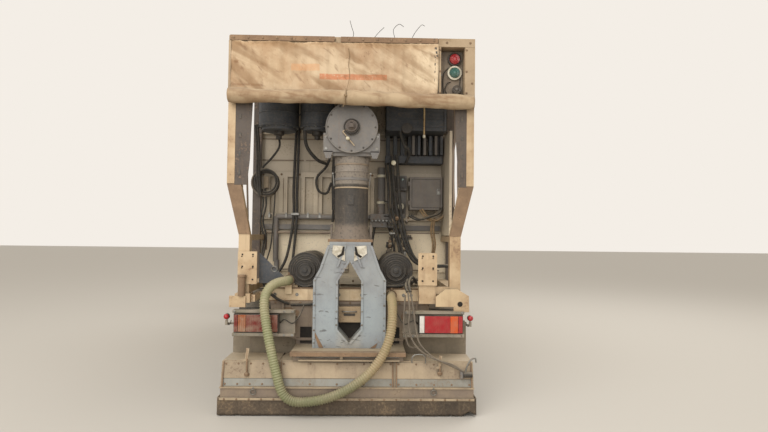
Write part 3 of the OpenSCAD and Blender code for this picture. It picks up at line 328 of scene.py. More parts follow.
# Enamels, sprayed on sheet: a flat sheen once chalked by the sun, with brown runs below edges and bolts.
creamPaint = weathered("faded cream enamel", "#C2AB87 #AB9170 #82644A", worn=0.3, streaks=0.45, dust=0.45)
hoodPaint = weathered("cream header enamel", "#A48E71 #8E7759 #6F5540", 260, worn=0.35, streaks=0.5, dust=0.4)
siloPaint = weathered("faded cream tank enamel", "#D2C3A2 #BFAB86 #8A6E50", 700, worn=0.15, streaks=0.4)
postPaint = weathered("cream enamel with rust", "#BEA684 #A68A68 #7A5C44", 240, worn=0.35, streaks=0.5)
# The beam's cream is a lighter copy of the cream enamel: painted light on a beam that sits in shade.
beamLitPaint = weathered("cream beam enamel with painted light", "#DCC6A2 #C4A884 #7A5C44", 240, worn=0.3, streaks=0.4, dark=0.4)
# The lower pale band is painted light low on the bay wall; the upper one makes the wall a paler grey between
# z 2330 and 3000.
bayPaleBands = [
    {"colour": "#E8D8BA", "within": {2: (1150, 1800)}, "soft": 200, "share": 0.95},
    {"colour": "#B9AD9B", "within": {2: (2330, 3000)}, "soft": 160, "share": 0.6}]
bayPaint = weathered("dusty grey-brown panel enamel", "#AFA28D #C0B199 #6E5D4A", 360, worn=0.4, streaks=0.6,
                     dust=0.6, dark=0.35, marks=bayPaleBands)
navyPaint = weathered("dark navy enamel", "#30353C #43474C #5C5146", 300, worn=0.3, streaks=0.3, dust=0.45)
greyPaint = weathered("dusty grey enamel", "#666360 #76716B #6E5645", 240, worn=0.3, streaks=0.35, dust=0.4)
chuteMarks = [
    {"colour": "#A49A88", "within": {0: (-120, 120), 2: (600, 790)}, "soft": 40, "share": 0.6},
    {"colour": "#9AA7AC", "within": {0: (-380, 380), 2: (640, 1120)}, "soft": 180, "share": 0.5}]
chuteScuffs = {"angle": 8, "long": 3, "size": 38, "within": (0.64, 0.7), "colour": "#4D4B4C", "share": 0.75}
chutePaint = weathered("pale blue-grey enamel", "#8F9393 #7E8082 #75604D", 230, worn=0.2, streaks=0.3,
                       dust=0.4, marks=chuteMarks, scuffs=chuteScuffs)
spoutMarks = [
    {"colour": "#8D8377", "within": {2: (2275, 2640)}, "soft": 12, "share": 0.75},
    {"colour": "#74675A", "within": {2: (1660, 1850)}, "soft": 40, "share": 0.85}]
spoutPaint = weathered("dark brown spout enamel", "#312D29 #3D3731 #6A5B4B", 180, worn=0.3, streaks=0.5,
                       dust=0.35, marks=spoutMarks)
cabinetPaint = weathered("slate grey enamel", "#5D5751 #6B645C #75563F", 260, worn=0.25, streaks=0.3)
signalPaint = weathered("brown-grey panel", "#8A7B68 #766654 #4E3E30", 120, worn=0.5, streaks=0.5)
chassisPaint = weathered("dark grey chassis enamel", "#3F3D3A #504940 #6A4A35", 300, worn=0.5, streaks=0.3,
                         dust=0.6)
hopperPaint = weathered("dusty brown hopper plate", "#7A6B5D #8C7B66 #5B4838", 260, worn=0.4, streaks=0.5,
                        dust=0.5)
boxPaint = weathered("dusty spreading-box plate", "#A8957A #8E7D66 #6B5442", 300, worn=0.4, streaks=0.5,
                     dust=0.7)
bluePaint = weathered("blue-grey cover enamel", "#8C8B83 #7F7B70 #75604C", 240, worn=0.35, streaks=0.4,
                      dust=0.5)
bracketPaint = weathered("grey-green enamel", "#8C8172 #75705F #654F3F", 200, worn=0.4, streaks=0.3, dust=0.5)
yellowPaint = weathered("faded yellow enamel", "#C6AC7C #AE8F62 #7A5C42", 200, worn=0.35)
rimPaint = weathered("cream wheel enamel", "#C4B48F #A99875 #6E4B33", 180, worn=0.5, streaks=0.2, dust=0.5)
finPlate = weathered("dark grey-brown fin plate", "#51473F #443A33 #7A6450", 180, worn=0.4, streaks=0.5,
                     dust=0.3)

# Steels: mill-rolled and rusted ones scatter light, zinc and brushed sheet keep a dull shine.
rustPlate = weathered("rusted steel plate", "#77604A #8C7258 #5C4636", 180, worn=0.4, streaks=0.4, rough=0.85,
                      relief=1.2)
blackSteel = weathered("black enamelled steel", "#24211E #332E28 #5B4A3C", 160, worn=0.3, streaks=0.2,
                       rough=0.55)
stripPaint = weathered("brown header strip", "#765C45 #8A6E52 #543E2E", 160, worn=0.4, streaks=0.4, rough=0.8)
zincSteel = weathered("dull zinc-plated steel", "#8B8A85 #75726B #6A4E3B", 120, worn=0.4, streaks=0.2,
                      metal=0.7, rough=0.45)
tankMetal = weathered("brushed tank sheet", "#9C9C98 #84827C #6E5B48", 320, worn=0.2, metal=0.8, rough=0.4)
exhaustSteel = weathered("rusted exhaust steel", "#7C6553 #5E4A3C #8E5C3A", 140, worn=0.5, streaks=0.4,
                         metal=0.6, rough=0.6)

# Rubbers, moulded and dust-bound: dark and matt, paler where they rub.
skirtMarks = [{"colour": "#2E261F", "within": {0: (500, 1260), 2: (0, 190)}, "soft": 160, "share": 0.6}]
skirtRubber = weathered("worn skirt rubber", "#43382D #57493A #6B5943", 200, worn=0.5, streaks=0.7, dust=0.55,
                        rough=0.88, ior=1.52, marks=skirtMarks)
flapRubber = weathered("dusty flap rubber", "#7A6F5E #8B7F6C #5A4C3D", 260, worn=0.3, streaks=0.5, dust=0.5,
                       rough=0.88, ior=1.52, dark=0.3)
blackRubber = weathered("black hose rubber", "#1E1D1C #2B2926 #4A4036", 120, worn=0.2, streaks=0.1, dust=0.45,
                        rough=0.7, ior=1.52)
dustyRubber = weathered("dusty cable rubber", "#6A6053 #574E44 #8B7D69", 90, worn=0.3, streaks=0.2, dust=0.5,
                        rough=0.85, ior=1.52)
tyreRubber = weathered("dusty tyre rubber", "#232221 #34312D #55493B", 150, worn=0.4, streaks=0.1, dust=0.5,
                       rough=0.86, ior=1.52)

# Plastics and fibres: moulded polypropylene is satin, seat cloth and jute show no shine at all.
whitePlastic = weathered("yellowed white plastic", "#D8D2BE #BDB497 #7A6A50", 90, worn=0.2, rough=0.5,
                         ior=1.46)
guardPlastic = weathered("black guard plastic", "#2A2A2A #393632 #5A5044", 240, worn=0.2, dust=0.6, rough=0.7,
                         ior=1.46)
seatCloth = weathered("grey seat cloth", "#4B4E52 #3D3F42 #63605A", 80, worn=0.1, streaks=0, rough=0.95,
                      ior=1.45)
jute = weathered("brown jute rope", "#8E7656 #6E593F #9A8262", 40, worn=0.3, streaks=0, rough=0.95,
                 relief=0.8)

# Painted shade and powder: an opening gives back next to no light, so a near-black sheet is painted shade in
# it; lime is chalky and matt.
openingShade = weathered("painted opening shade", "#171411 #221D18 #332A21", 60, worn=0.1, streaks=0, dust=0.1,
                      rough=0.95)
limeDust = weathered("white lime dust", "#CFC8B8 #A89F8C #85745C", 50, worn=0.2, streaks=0, dust=0.1,
                     rough=0.97, relief=1.5)

# Lenses are moulded acrylic under a film of dust: a clean highlight over a saturated colour.
redLens = clear("red lamp lens", "#9E1620", film=0.2)
orangeLens = clear("orange lamp lens", "#C7501A", film=0.35)
whiteLens = clear("clear lamp lens", "#D9D6CE", film=0.35)
greenLens = clear("green lamp lens", "#2C5A50", film=0.35)
dirtyRed = clear("dirty red lens", "#6E241C", film=0.75)
dirtyOrange = clear("dirty orange lens", "#8F4A22", film=0.75)

# Glass: the windows let light through under a sharp highlight, the silvered mirrors throw it all back.
windowGlass = clear("window glass", "#9FA8A6", rough=0.03, ior=1.52, through=0.85, film=0.12)
mirrorGlass = clear("mirror glass", "#C9CCCC", rough=0.03, ior=1.5, metal=1.0, film=0.08)
print("stage: finishes made")


# Camera at the photo's place and angle.
cameraView = {"place": (0.2, -10.12, 1.75), "lens": 27.05, "rise": 1.88, "turn": 1.362, "roll": 0.638}
camera = bpy.data.objects.new("camera", bpy.data.cameras.new("camera"))
camera.data.lens, camera.data.sensor_width = cameraView["lens"], 36
camera.data.dof.use_dof = False
camera.matrix_world = (
    Matrix.Translation(cameraView["place"])
    @ Matrix.Rotation(math.radians(-cameraView["turn"]), 4, "Z")
    @ Matrix.Rotation(math.radians(90 + cameraView["rise"]), 4, "X")
    @ Matrix.Rotation(math.radians(cameraView["roll"]), 4, "Z")
)
bpy.context.scene.collection.objects.link(camera)
bpy.context.scene.camera = camera

# Suction hose: a ribbed tube on the line of the CAD hose. Ribs are drawn coarser than real ones, to show.
hose = {"diameter": 95, "rib": 24, "depth": 6.5, "sides": 24, "line": [
    (-640, -4075, 1270), (-640, -4150, 1270), (-662, -4218, 1270), (-704, -4274, 1264), (-750, -4322, 1246),
    (-790, -4366, 1212), (-815, -4402, 1160), (-825, -4430, 1095), (-820, -4454, 1015), (-803, -4478, 925),
    (-784, -4500, 835), (-762, -4520, 745), (-739, -4537, 655), (-715, -4552, 565), (-691, -4562, 475),
    (-666, -4568, 385), (-640, -4570, 300), (-613, -4570, 238), (-570, -4570, 191), (-515, -4570, 163),
    (-450, -4570, 154), (-370, -4570, 158), (-290, -4570, 169), (-215, -4570, 185), (-142, -4570, 208),
    (-70, -4570, 238), (15, -4570, 282), (98, -4570, 336), (176, -4568, 398), (246, -4564, 470),
    (307, -4558, 552), (356, -4550, 640), (392, -4540, 735), (414, -4524, 830), (424, -4500, 925),
    (427, -4460, 1012), (426, -4400, 1076), (424, -4320, 1108), (422, -4220, 1120), (422, -4090, 1120)],
    "marks": [{"colour": "#9C8362", "within": {0: (150, 600)}, "soft": 160, "share": 0.75},
              {"colour": "#55523A", "within": {0: (-620, 200), 2: (40, 380)}, "soft": 110, "share": 0.5}]}
# Soft plastic: a satin sheen, bleached where the sun meets it and browned by dust on the right; the dark mark
# low on the left is painted shade, where the box shades the hose.
hosePaint = weathered("green ribbed hose plastic", "#7F835D #968F6E #8A7A5A", 420, marks=hose["marks"],
                      worn=0.15, streaks=0.1, dust=0.45, rough=0.55, ior=1.46, relief=0.3)
hoseLine = evenLine(smoothLine(hose["line"], 5), hose["rib"] / 4)
piece = Piece("ribbed_hose").use(hosePaint)
piece.tube(hoseLine, lambda n: hose["diameter"] / 2 - hose["depth"] * (n % 4 in (1, 2)), hose["sides"])
ribbedHose = piece.done(replaced=["suction_hose"], slot="hose_green", sharp=80)
[c / 1000 for c in hoseLine[0]]
lineLength(hoseLine) / 1000
[[c / 1000 for c in p] for p in hoseLine[::4] + [hoseLine[-1]]]
print("stage: suction hose", round(lineLength(hoseLine)), "mm")

# Header: canvas cover hung by a cloth run, with its stripes and stains, and the rolled tarp under it.
cover = {
    "low": (-1225, 3185), "high": (880, 3702), "face": -4301.5, "across": 110, "down": 30, "frames": 44,
    "slack": 1.035, "lean": 26, "sway": 10, "push": 20, "fold": (900, 120), "slope": (0.86, 0.51),
    "sewnEach": 5, "tiedEach": 9, "mass": 0.5, "stretch": 22, "bend": 0.35, "thick": 1.2}
# Zones on the canvas: darker towards its left end, paler towards its right, two orange stripes, a dark line
# of painted shade along the crease low on the left, a small brown spot and a darker band along the top edge.
canvasMarks = [
    {"colour": "#A58560", "within": {0: (-1225, -500), 2: (3185, 3702)}, "soft": 260, "share": 0.35},
    {"colour": "#E9D6B5", "within": {0: (560, 880), 2: (3185, 3702)}, "soft": 160, "share": 0.45},
    {"colour": "#C98F5E", "within": {0: (-618, -330), 2: (3404, 3474)}, "soft": 6, "share": 0.45},
    {"colour": "#B9653A", "within": {0: (-330, 352), 2: (3318, 3376)}, "soft": 4, "share": 0.7},
    {"colour": "#7A573A", "within": {0: (-1225, -900), 2: (3240, 3262)}, "soft": 9, "share": 0.5},
    {"colour": "#7B5A3E", "within": {0: (-1190, -1150), 2: (3470, 3500)}, "soft": 12, "share": 0.8},
    {"colour": "#A5825B", "within": {0: (-1225, 880), 2: (3640, 3702)}, "soft": 30, "share": 0.5}]
canvasFoldShade = {
    "angle": 31, "long": 6, "size": 150, "within": (0.46, 0.64), "colour": "#80603F", "share": 0.62}
canvasScuffs = {"angle": 48, "long": 3, "size": 45, "within": (0.6, 0.72), "colour": "#6E4F36", "share": 0.45}
# Canvas is woven and waxed: matt, with its thread showing and brown painted shade along each fold.
canvas = weathered("tan canvas", "#C4AE90 #AA8E70 #6F5038", 330, worn=0.1, streaks=0.12, dust=0.25, rough=0.9,
                   ior=1.46, relief=0.9, dark=0.25, marks=canvasMarks, weave=3, foldShade=canvasFoldShade,
                   scuffs=canvasScuffs)
# Each fold of the roll carries brown painted shade.
rollFoldShade = {"angle": 9, "long": 5, "size": 80, "within": (0.48, 0.66), "colour": "#7B5D42", "share": 0.7}
rollCanvas = weathered("rolled canvas", "#AE987A #92785B #634731", 200, worn=0.2, streaks=0.2, dust=0.35,
                       rough=0.92, ior=1.46, relief=0.9, dark=0.6, weave=3, foldShade=rollFoldShade)


def hangCover():
    (x0, z0), (x1, z1) = cover["low"], cover["high"]
    wide, high = x1 - x0, z1 - z0
    level, fall = cover["slope"]

    def at(u, v):
        lean = cover["lean"] * v + cover["sway"] * math.sin(9 * u + 4 * v)
        along, across = wide * u * level + high * v * fall, high * v * level - wide * u * fall
        push = cover["push"] * noise.noise(Vector((along / cover["fold"][0], across / cover["fold"][1], 2.3)))
        return (x0 + wide * u * (1 - 0.004 * v) + lean * math.sin(math.pi * u),
                cover["face"] - 6 - push - 3 * v, z1 - high * v)

    draft = Piece("canvas_draft").use(canvas)
    draft.sheet(at, cover["across"], cover["down"])
    cloth = draft.done(thick=0.01)
    cloth.modifiers.clear()
    cloth.parent = None
    columns = cover["across"] + 1
    last = cover["down"] * columns
    sewn = [n for n in range(columns) if n % cover["sewnEach"] == 0 or n < 3 or n > columns - 4]
    tied = [last + n for n in range(columns) if n % cover["tiedEach"] == 0]
    pins = cloth.vertex_groups.new(name="pins")
    pins.add(sewn + tied + list(range(0, last, columns)), 1.0, "REPLACE")
    run = cloth.modifiers.new("hang", "CLOTH")
    run.settings.quality, run.settings.mass = 6, cover["mass"]
    run.settings.tension_stiffness, run.settings.bending_stiffness = cover["stretch"], cover["bend"]
    run.settings.shrink_min, run.settings.vertex_group_mass = -(cover["slack"] - 1), "pins"
    run.collision_settings.use_collision = False
    run.point_cache.frame_start, run.point_cache.frame_end = 1, cover["frames"]
    scene = bpy.context.scene
    for n in range(1, cover["frames"] + 1):
        scene.frame_set(n)
    evaluated = cloth.evaluated_get(bpy.context.evaluated_depsgraph_get())
    points = [v.co.copy() * 1000 for v in evaluated.data.vertices]
    scene.frame_set(1)
    bpy.data.objects.remove(cloth)
    return [points[n:n + columns] for n in range(0, len(points), columns)]


piece = Piece("canvas_cover").use(canvas)
piece.skin([[(p.x, min(p.y, cover["face"]), p.z) for p in row] for row in hangCover()], closed=False)
canvasCover = piece.done(replaced=["header_cover"], slot="canvas", thick=cover["thick"], sharp=180)
print("stage: canvas cover hung")

# The roll winds outwards, with a limp ripple, a swell near its left end and a sag towards its right one.
roll = {
    "half": 1228, "y": -4381, "z": 3125, "inner": 20, "outer": 76, "turns": 4.2, "across": 150, "around": 110,
    "start": -1.8, "slip": 1.1, "ripple": (0.16, 0.07), "swell": 0.16, "swellAt": 0.055, "sag": 42,
    "back": -4302}


def rollSag(u):
    return roll["sag"] * u * u


def rollPoint(u, v):
    x = -roll["half"] + 2 * roll["half"] * u
    angle = v * roll["turns"] * 2 * math.pi + roll["slip"] * math.sin(7 * u) + roll["start"]
    near = noise.noise(Vector((x / 130, 1.7, 0.4)))
    wound = noise.noise(Vector((x / 320 + math.cos(angle), math.sin(angle), 3.1)))
    ripple = 1 + roll["ripple"][0] * near + roll["ripple"][1] * wound
    swell = 1.0 + roll["swell"] * math.exp(-((u - roll["swellAt"]) / 0.03) ** 2)
    radius = (roll["inner"] + (roll["outer"] - roll["inner"]) * v) * ripple * swell
    sag = rollSag(u) + 5 * math.sin(11 * u)
    return (x, min(roll["y"] + radius * math.cos(angle), roll["back"]),
            roll["z"] - sag + 6 + radius * math.sin(angle))


piece = Piece("rolled_tarp").use(rollCanvas)
piece.sheet(rollPoint, roll["across"], roll["around"])
rolledTarp = piece.done(replaced=["tarp_roll"], slot="canvas", thick=1.0, sharp=180)

ropes = {
    "tie": -60, "radius": 82, "thick": 4, "knot": [(4, -16), (13, -8), (15, 2), (10, 12), (3, 16)],
    "end": [(0, -4466, 3130), (-12, -4474, 3090), (-4, -4468, 3050), (-22, -4462, 3010)],
    "pull": [(-42, -4318, 3640), (-30, -4322, 3560), (-38, -4326, 3470), (-26, -4330, 3380),
        (-34, -4345, 3290), (-45, -4400, 3222), (-52, -4462, 3150)],
    "lacing": 11, "lacingTop": 3655, "lacingStep": 40}
sag = rollSag((ropes["tie"] + roll["half"]) / (2 * roll["half"]))
piece = Piece("tarp_ties").use(jute)
x, thick = ropes["tie"], ropes["thick"]
piece.torus((x, roll["y"], roll["z"] + 4 - sag), (1, 0.05, 0), ropes["radius"], thick, 40, 6)
piece.hoses([[(x + dx, y, z - sag * (n == 0)) for n, (dx, y, z) in enumerate(ropes["end"])]], thick)
piece.lathe(ropes["knot"], (x, -4468, 3132 - sag), (0.3, 0, 1), 12)
piece.hoses([ropes["pull"]], 2.5).use(blackSteel)
for n in range(ropes["lacing"]):
    z = ropes["lacingTop"] - ropes["lacingStep"] * n
    piece.box((836 + 8 * (n % 2), -4316, z - 12 - 4 * (n % 3)), (858 + 6 * (n % 3), -4306, z + 10))
piece.done()

header = {
    "strip": (3704, 3758), "gap": (-182, -120), "left": -1236, "right": 872, "face": -4316,
    "rivet": 145, "rivetRow": 3731,
    "edges": [((-1250, -4312, 3122), (-1226, -4298, 3704)), ((884, -4318, 3126), (902, -4298, 3670)),
              ((1148, -4318, 3126), (1249, -4298, 3670)), ((876, -4316, 3672), (1249, -4297, 3758))],
    "bolts": [(893, 3640), (893, 3420), (893, 3200), (1162, 3640), (1162, 3420), (1162, 3200), (1200, 3715),
        (960, 3715), (1220, 3300)],
    "wires": [[(0, -4290, 3755), (8, -4300, 3800), (-12, -4310, 3860), (-30, -4300, 3930)],
              [(215, -4290, 3755), (262, -4300, 3810), (318, -4310, 3862)],
              [(430, -4290, 3755), (415, -4280, 3850), (470, -4290, 3905), (520, -4290, 3880)],
              [(600, -4290, 3755), (640, -4280, 3830), (700, -4290, 3900), (735, -4280, 3895)]]}
piece = Piece("header_trim").use(stripPaint)
for x0, x1 in ((header["left"], header["gap"][0]), (header["gap"][1], header["right"])):
    piece.box((x0, header["face"], header["strip"][0]), (x1, -4298, header["strip"][1]))
piece.use(hoodPaint).boxes(header["edges"]).use(rustPlate)
for x in range(-1200, 861, header["rivet"]):
    piece.lathe([(13, 0), (12, 4), (7, 7)], (x, header["face"], header["rivetRow"]), rearward, 14)
piece.bolts([(x, -4318, z) for x, z in header["bolts"]], rearward, 8)
piece.use(blackRubber).hoses(header["wires"], 3, 6).done(bevel=2)

signal = {
    "x": 1058, "face": -4170, "back": -4151, "low": (906, 3151), "high": (1144, 3669),
    "lamps": [(blackSteel, "blackCollar", 0, 0, 3582, 32), (redLens, "lens", 0, -10, 3582, 40),
              (whitePlastic, "whiteCollar", 0, 0, 3440, 32), (greenLens, "lens", 0, -8, 3440, 40),
              (cabinetPaint, "hornShape", 22, 0, 3262, 32)],  # finish, shape, x, y, z, sides
    "bolts": [(x, z) for x in (925, 1125) for z in (3170, 3420, 3650)],
    "lens": [(54, 0), (54, 26), (50, 38), (44, 36), (40, 44), (34, 42), (30, 48), (22, 46), (16, 51),
             (2, 52)],
    "blackCollar": [(70, 0), (70, 30), (58, 34), (58, 20)],
    "whiteCollar": [(74, 0), (74, 28), (56, 34), (56, 20)],
    "hornShape": [(46, 0), (50, 40), (42, 52), (36, 44), (30, 52), (22, 44), (14, 56), (3, 60)],
    "wires": [[(1020, -4172, 3350), (985, -4190, 3330), (960, -4185, 3270), (990, -4180, 3215),
               (1030, -4180, 3220)],
              [(1000, -4172, 3500), (950, -4185, 3440), (938, -4180, 3330), (955, -4178, 3200),
               (1000, -4180, 3175), (1050, -4180, 3190)],
              [(1100, -4172, 3510), (1124, -4184, 3460), (1118, -4180, 3380), (1110, -4180, 3290)]]}
(x0, z0), (x1, z1) = signal["low"], signal["high"]
piece = Piece("signal_panel").use(signalPaint).box((x0, signal["face"], z0), (x1, signal["back"], z1))
piece.use(zincSteel).bolts([(x, signal["face"], z) for x, z in signal["bolts"]], rearward, 6)
for finish, shape, x, y, z, sides in signal["lamps"]:
    piece.use(finish).lathe(signal[shape], (signal["x"] + x, signal["face"] + y, z), rearward, sides)
piece.use(blackRubber).hoses(signal["wires"], 5, 8)
piece.done(bevel=2, replaced=["signal_box"], slot="signal_paint")
print("stage: header")

# Dust skirt: one rubber strip round three sides of the box, torn at its lower right corner.
skirt = {
    "out": 1243, "back": -4494, "front": -4045, "top": 176, "low": 10, "strip": 7, "step": 12, "rows": 8,
    "torn": 20, "tear": 55, "tearAt": 1180, "tearWide": 70, "wave": (9, 4), "widest": 1249}
skirtRun = [
    (-skirt["out"], skirt["front"], 0), (-skirt["out"], skirt["back"], 0), (skirt["out"], skirt["back"], 0),
    (skirt["out"], skirt["front"], 0)]
skirtSteps = evenLine(skirtRun, skirt["step"])


def skirtPoint(u, v):
    x, y, _ = skirtSteps[round(u * (len(skirtSteps) - 1))]
    torn = skirt["torn"] * max(0, noise.noise(Vector((x / 60, y / 60, 4))))
    torn += skirt["tear"] * max(0, 1 - abs(x - skirt["tearAt"]) / skirt["tearWide"]) * (y < -4400)
    broad, narrow = skirt["wave"]
    wave = (broad * v * noise.noise(Vector((x / 110, y / 110, 7)))
            + narrow * v * noise.noise(Vector((x / 40, y / 40, 1))))
    if y < skirt["back"] + 14:
        y -= abs(wave)
    else:
        x += math.copysign(wave * 0.6, x)
    z = skirt["top"] - (skirt["top"] - skirt["low"] - torn * 0.8) * v
    return (max(-skirt["widest"], min(skirt["widest"], x)), y, z)


piece = Piece("rubber_skirt").use(skirtRubber)
piece.sheet(skirtPoint, len(skirtSteps) - 1, skirt["rows"])
rubberSkirt = piece.done(replaced=["dust_skirt"], slot="skirt_rubber", thick=skirt["strip"], sharp=180)
skirtSize = (lineLength(skirtRun) / 1000, (skirt["top"] - skirt["low"]) / 1000)

# Spreading box: two plates on each sloping cover, a strip over each seam, and the shelf under the chute.
spreader = {
    "cuts": (-1222, -665, 455, 1222), "back": -4480, "foot": 270, "lean": 60, "rise": 240, "edge": 8,
    "bands": [(282, 350, 5, bluePaint), (354, 500, 9, boxPaint)],  # foot, top, proud of slope, finish
    "bolted": [(300, 5), (486, 9)], "boltEnd": 40, "clampBolts": range(-1180, 1190, 118),
    "boxes": [(hopperPaint, (-1222, -4489, 152), (1222, -4478, 270)),
              (boxPaint, (-1228, -4500, 262), (1228, -4482, 276)),
              (boxPaint, (-1228, -4508, 152), (1228, -4496, 174)),
              (rustPlate, (-560, -4502, 570), (560, -4420, 609)),
              (rustPlate, (-1234, -4480, 152), (-1226, -4050, 176)),
              (rustPlate, (1226, -4480, 152), (1234, -4050, 176)),
              (hopperPaint, (-540, -4440, 518), (540, -4426, 596)),
              (boxPaint, (-480, -4486, 522), (500, -4462, 536)),
              (boxPaint, (-80, -4470, 516), (-50, -4440, 604))]}


def slopeAt(z, proud=0):
    return spreader["back"] + spreader["lean"] * (z - spreader["foot"]) / spreader["rise"] - proud


def slopedPlate(x0, x1, z0, z1, proud, sunk):
    piece.skin([[(x0, slopeAt(z, proud), z), (x1, slopeAt(z, proud), z),
                 (x1, slopeAt(z, -sunk), z), (x0, slopeAt(z, -sunk), z)] for z in (z0, z1)])


piece = Piece("spreader_trim")
for finish, low, high in spreader["boxes"]:
    piece.use(finish).box(low, high)
piece.use(rustPlate).bolts([(x, -4508, 163) for x in spreader["clampBolts"]], rearward, 7)
piece.use(zincSteel).bar((-500, -4452, 556), (500, -4452, 556), 7)
for x0, x1 in zip(spreader["cuts"], spreader["cuts"][1:]):
    a, b = x0 + spreader["edge"], x1 - spreader["edge"]
    for z0, z1, proud, finish in spreader["bands"]:
        piece.use(finish)
        slopedPlate(a, b, z0, z1, proud, 4)
    piece.use(boxPaint).box((a, -4418, 508), (b, -4062, 516)).use(rustPlate)
    for x in (x0 + 12, x1 - 24):
        slopedPlate(x, x + 12, 276, 506, 20, 2)
    span = x1 - x0 - 2 * spreader["boltEnd"]
    for k in range(5):
        x = x0 + spreader["boltEnd"] + k * span / 4
        piece.bolts([(x, slopeAt(z, proud), z) for z, proud in spreader["bolted"]], (0, -1, 0.25), 7)
piece.done(bevel=2)

# Levers, loose cables and lashing rings on the box.
levers = {
    "places": [(-975, -4470, 384, 640, 66), (895, -4474, 404, 580, 44)],  # x, y, foot, top, arm
    "steel": 9, "knob": [(20, 0), (24, 8), (24, 26), (15, 34)], "rings": (-905, 832), "ringSize": (26, 5),
    "handle": [(622, -4480, 508), (622, -4490, 560), (650, -4490, 590), (722, -4490, 592),
               (752, -4490, 560), (752, -4480, 506)],
    "hook": [(1140, -4485, 380), (1150, -4500, 470), (1190, -4500, 545), (1236, -4490, 560),
             (1246, -4480, 520)],
    "cables": [[(585, -4330, 1180), (600, -4400, 1010), (590, -4440, 850), (640, -4480, 700),
                (760, -4495, 590), (930, -4500, 520), (1130, -4495, 430)],
               [(610, -4330, 1180), (640, -4390, 1000), (660, -4430, 840), (700, -4478, 690),
                (840, -4495, 560), (1010, -4498, 500), (1160, -4492, 405)],
               [(560, -4330, 1150), (540, -4420, 900), (560, -4450, 760), (600, -4440, 660),
                (690, -4380, 640)]]}
piece = Piece("spreader_levers").use(zincSteel).hoses([levers["handle"]], 6).hoses([levers["hook"]], 8)
for x, y, foot, top, arm in levers["places"]:
    piece.use(rustPlate).bar((x, y, foot), (x, y, top), levers["steel"])
    piece.use(boxPaint).box((x - 12, y - 8, top - 100), (x + 16, y + 8, top), 7)
    piece.box((x - arm, y - 7, top - 128), (x + 6, y + 7, top - 102), -14)
    piece.use(rustPlate).lathe(levers["knob"], (x, y, foot - 10), upward, 20)
piece.use(blackSteel).bar((1120, -4492, 402), (1208, -4492, 402), 26)
piece.use(greyPaint).box((1092, -4498, 366), (1120, -4462, 440)).use(zincSteel)
for x in levers["rings"]:
    piece.torus((x, -4508, 232), (0, 1, 0.2), *levers["ringSize"])
    piece.box((x - 8, -4502, 250), (x + 8, -4482, 275))
piece.use(dustyRubber).hoses(levers["cables"], 9).done(bevel=1.5)
print("stage: spreading box")

# Screw end plate with its hub, tap and brackets, and the spout's bands and flange.
screw = {
    "z": 2850, "face": -4240, "rim": 262, "bolted": 243, "hub": 76, "spoutY": -4005, "spoutBolts": 172,
    "tap": [(6, 0), (8, 26), (17, 34), (20, 46), (15, 58), (4, 62)],
    "bands": [(2490, 26, hopperPaint), (2330, 30, greyPaint), (2246, 16, boxPaint)],  # z, height, finish
    "wing": [(214, 262, 2530), (190, 292, 2606)]}  # inner x, outer x, z
piece = Piece("screw_trim").use(blackSteel)
piece.bolts(circle((0, screw["face"], screw["z"]), (0, 2), screw["bolted"], 12), rearward, 7)
piece.torus((0, -4266, screw["z"]), (0, 1, 0), screw["hub"], 8, 40, 8)
piece.use(greyPaint).torus((0, -4241, screw["z"]), (0, 1, 0), screw["rim"], 7, 56, 8)
piece.use(whitePlastic).lathe(screw["tap"], (-38, screw["face"], 2726), rearward, 20)
piece.use(boxPaint).bar((-92, -4262, 2800), (30, -4262, 2655), 6)
piece.bar((-92, -4262, 2800), (-48, -4262, 2822), 6)
piece.use(zincSteel).bolts([(x, -4217, z) for x in (-262, 262) for z in (2630, 2755)], rearward, 12)
for s in (-1, 1):
    piece.use(greyPaint).skin([flip([(a, -4217, z), (b, -4217, z), (b, -4205, z), (a, -4205, z)], s)[::s]
                               for a, b, z in screw["wing"]])
    piece.use(zincSteel).bar((s * 186, screw["spoutY"], 2262), (s * 200, screw["spoutY"], 2400), 7)
    piece.bar((s * 200, -4030, 2395), (s * 200, -3980, 2395), 9)
for z, high, finish in screw["bands"]:
    rim = [(176, 0), (181, 3), (181, high - 3), (176, high)]
    piece.use(finish).lathe(rim, (0, screw["spoutY"], z - 17), upward, 64)
piece.use(zincSteel).bolts(circle((0, screw["spoutY"], 2487), (0, 1), screw["spoutBolts"], 14), (0, 0, -1), 8)
piece.use(rustPlate).bolts([(x, -4225, 1688) for x in range(-200, 201, 100)], rearward, 9)
piece.box((-228, -4238, 1672), (228, -4222, 1703)).use(blackSteel).box((-34, -4192, 2058), (28, -4176, 2150))
piece.done(bevel=1.5)

# Chute: folded edge strips, lime-crusted cups with slits of painted shade, rusty corner gussets and painted
# shade in the opening behind.
chute = {
    "face": -4270, "proud": 9, "strip": 24,
    "outer": [(-367, 608), (-367, 1290), (-307, 1400), (-237, 1608), (-225, 1640)],
    "inner": [(0, 660), (-117, 794), (-117, 1280), (0, 1478)], "outerBolts": (352, range(660, 1290, 125)),
    "innerBolts": (129, range(840, 1270, 135)),
    "cup": [(44, 1480), (52, 1632), (168, 1640), (176, 1560), (118, 1512)],
    "slit": [(50, 1626), (68, 1630), (84, 1560), (128, 1530), (112, 1514), (58, 1546)],
    "arm": [(30, 1640), (52, 1640), (132, 1420), (112, 1420)], "shift": -4,
    "gussets": [[(-363, 780), (-350, 780), (-256, 612), (-300, 612)], [(214, 612), (288, 662), (268, 612)]],
    "handle": [(-70, -4070, 950), (-70, -4100, 950), (58, -4100, 950), (58, -4070, 950)]}


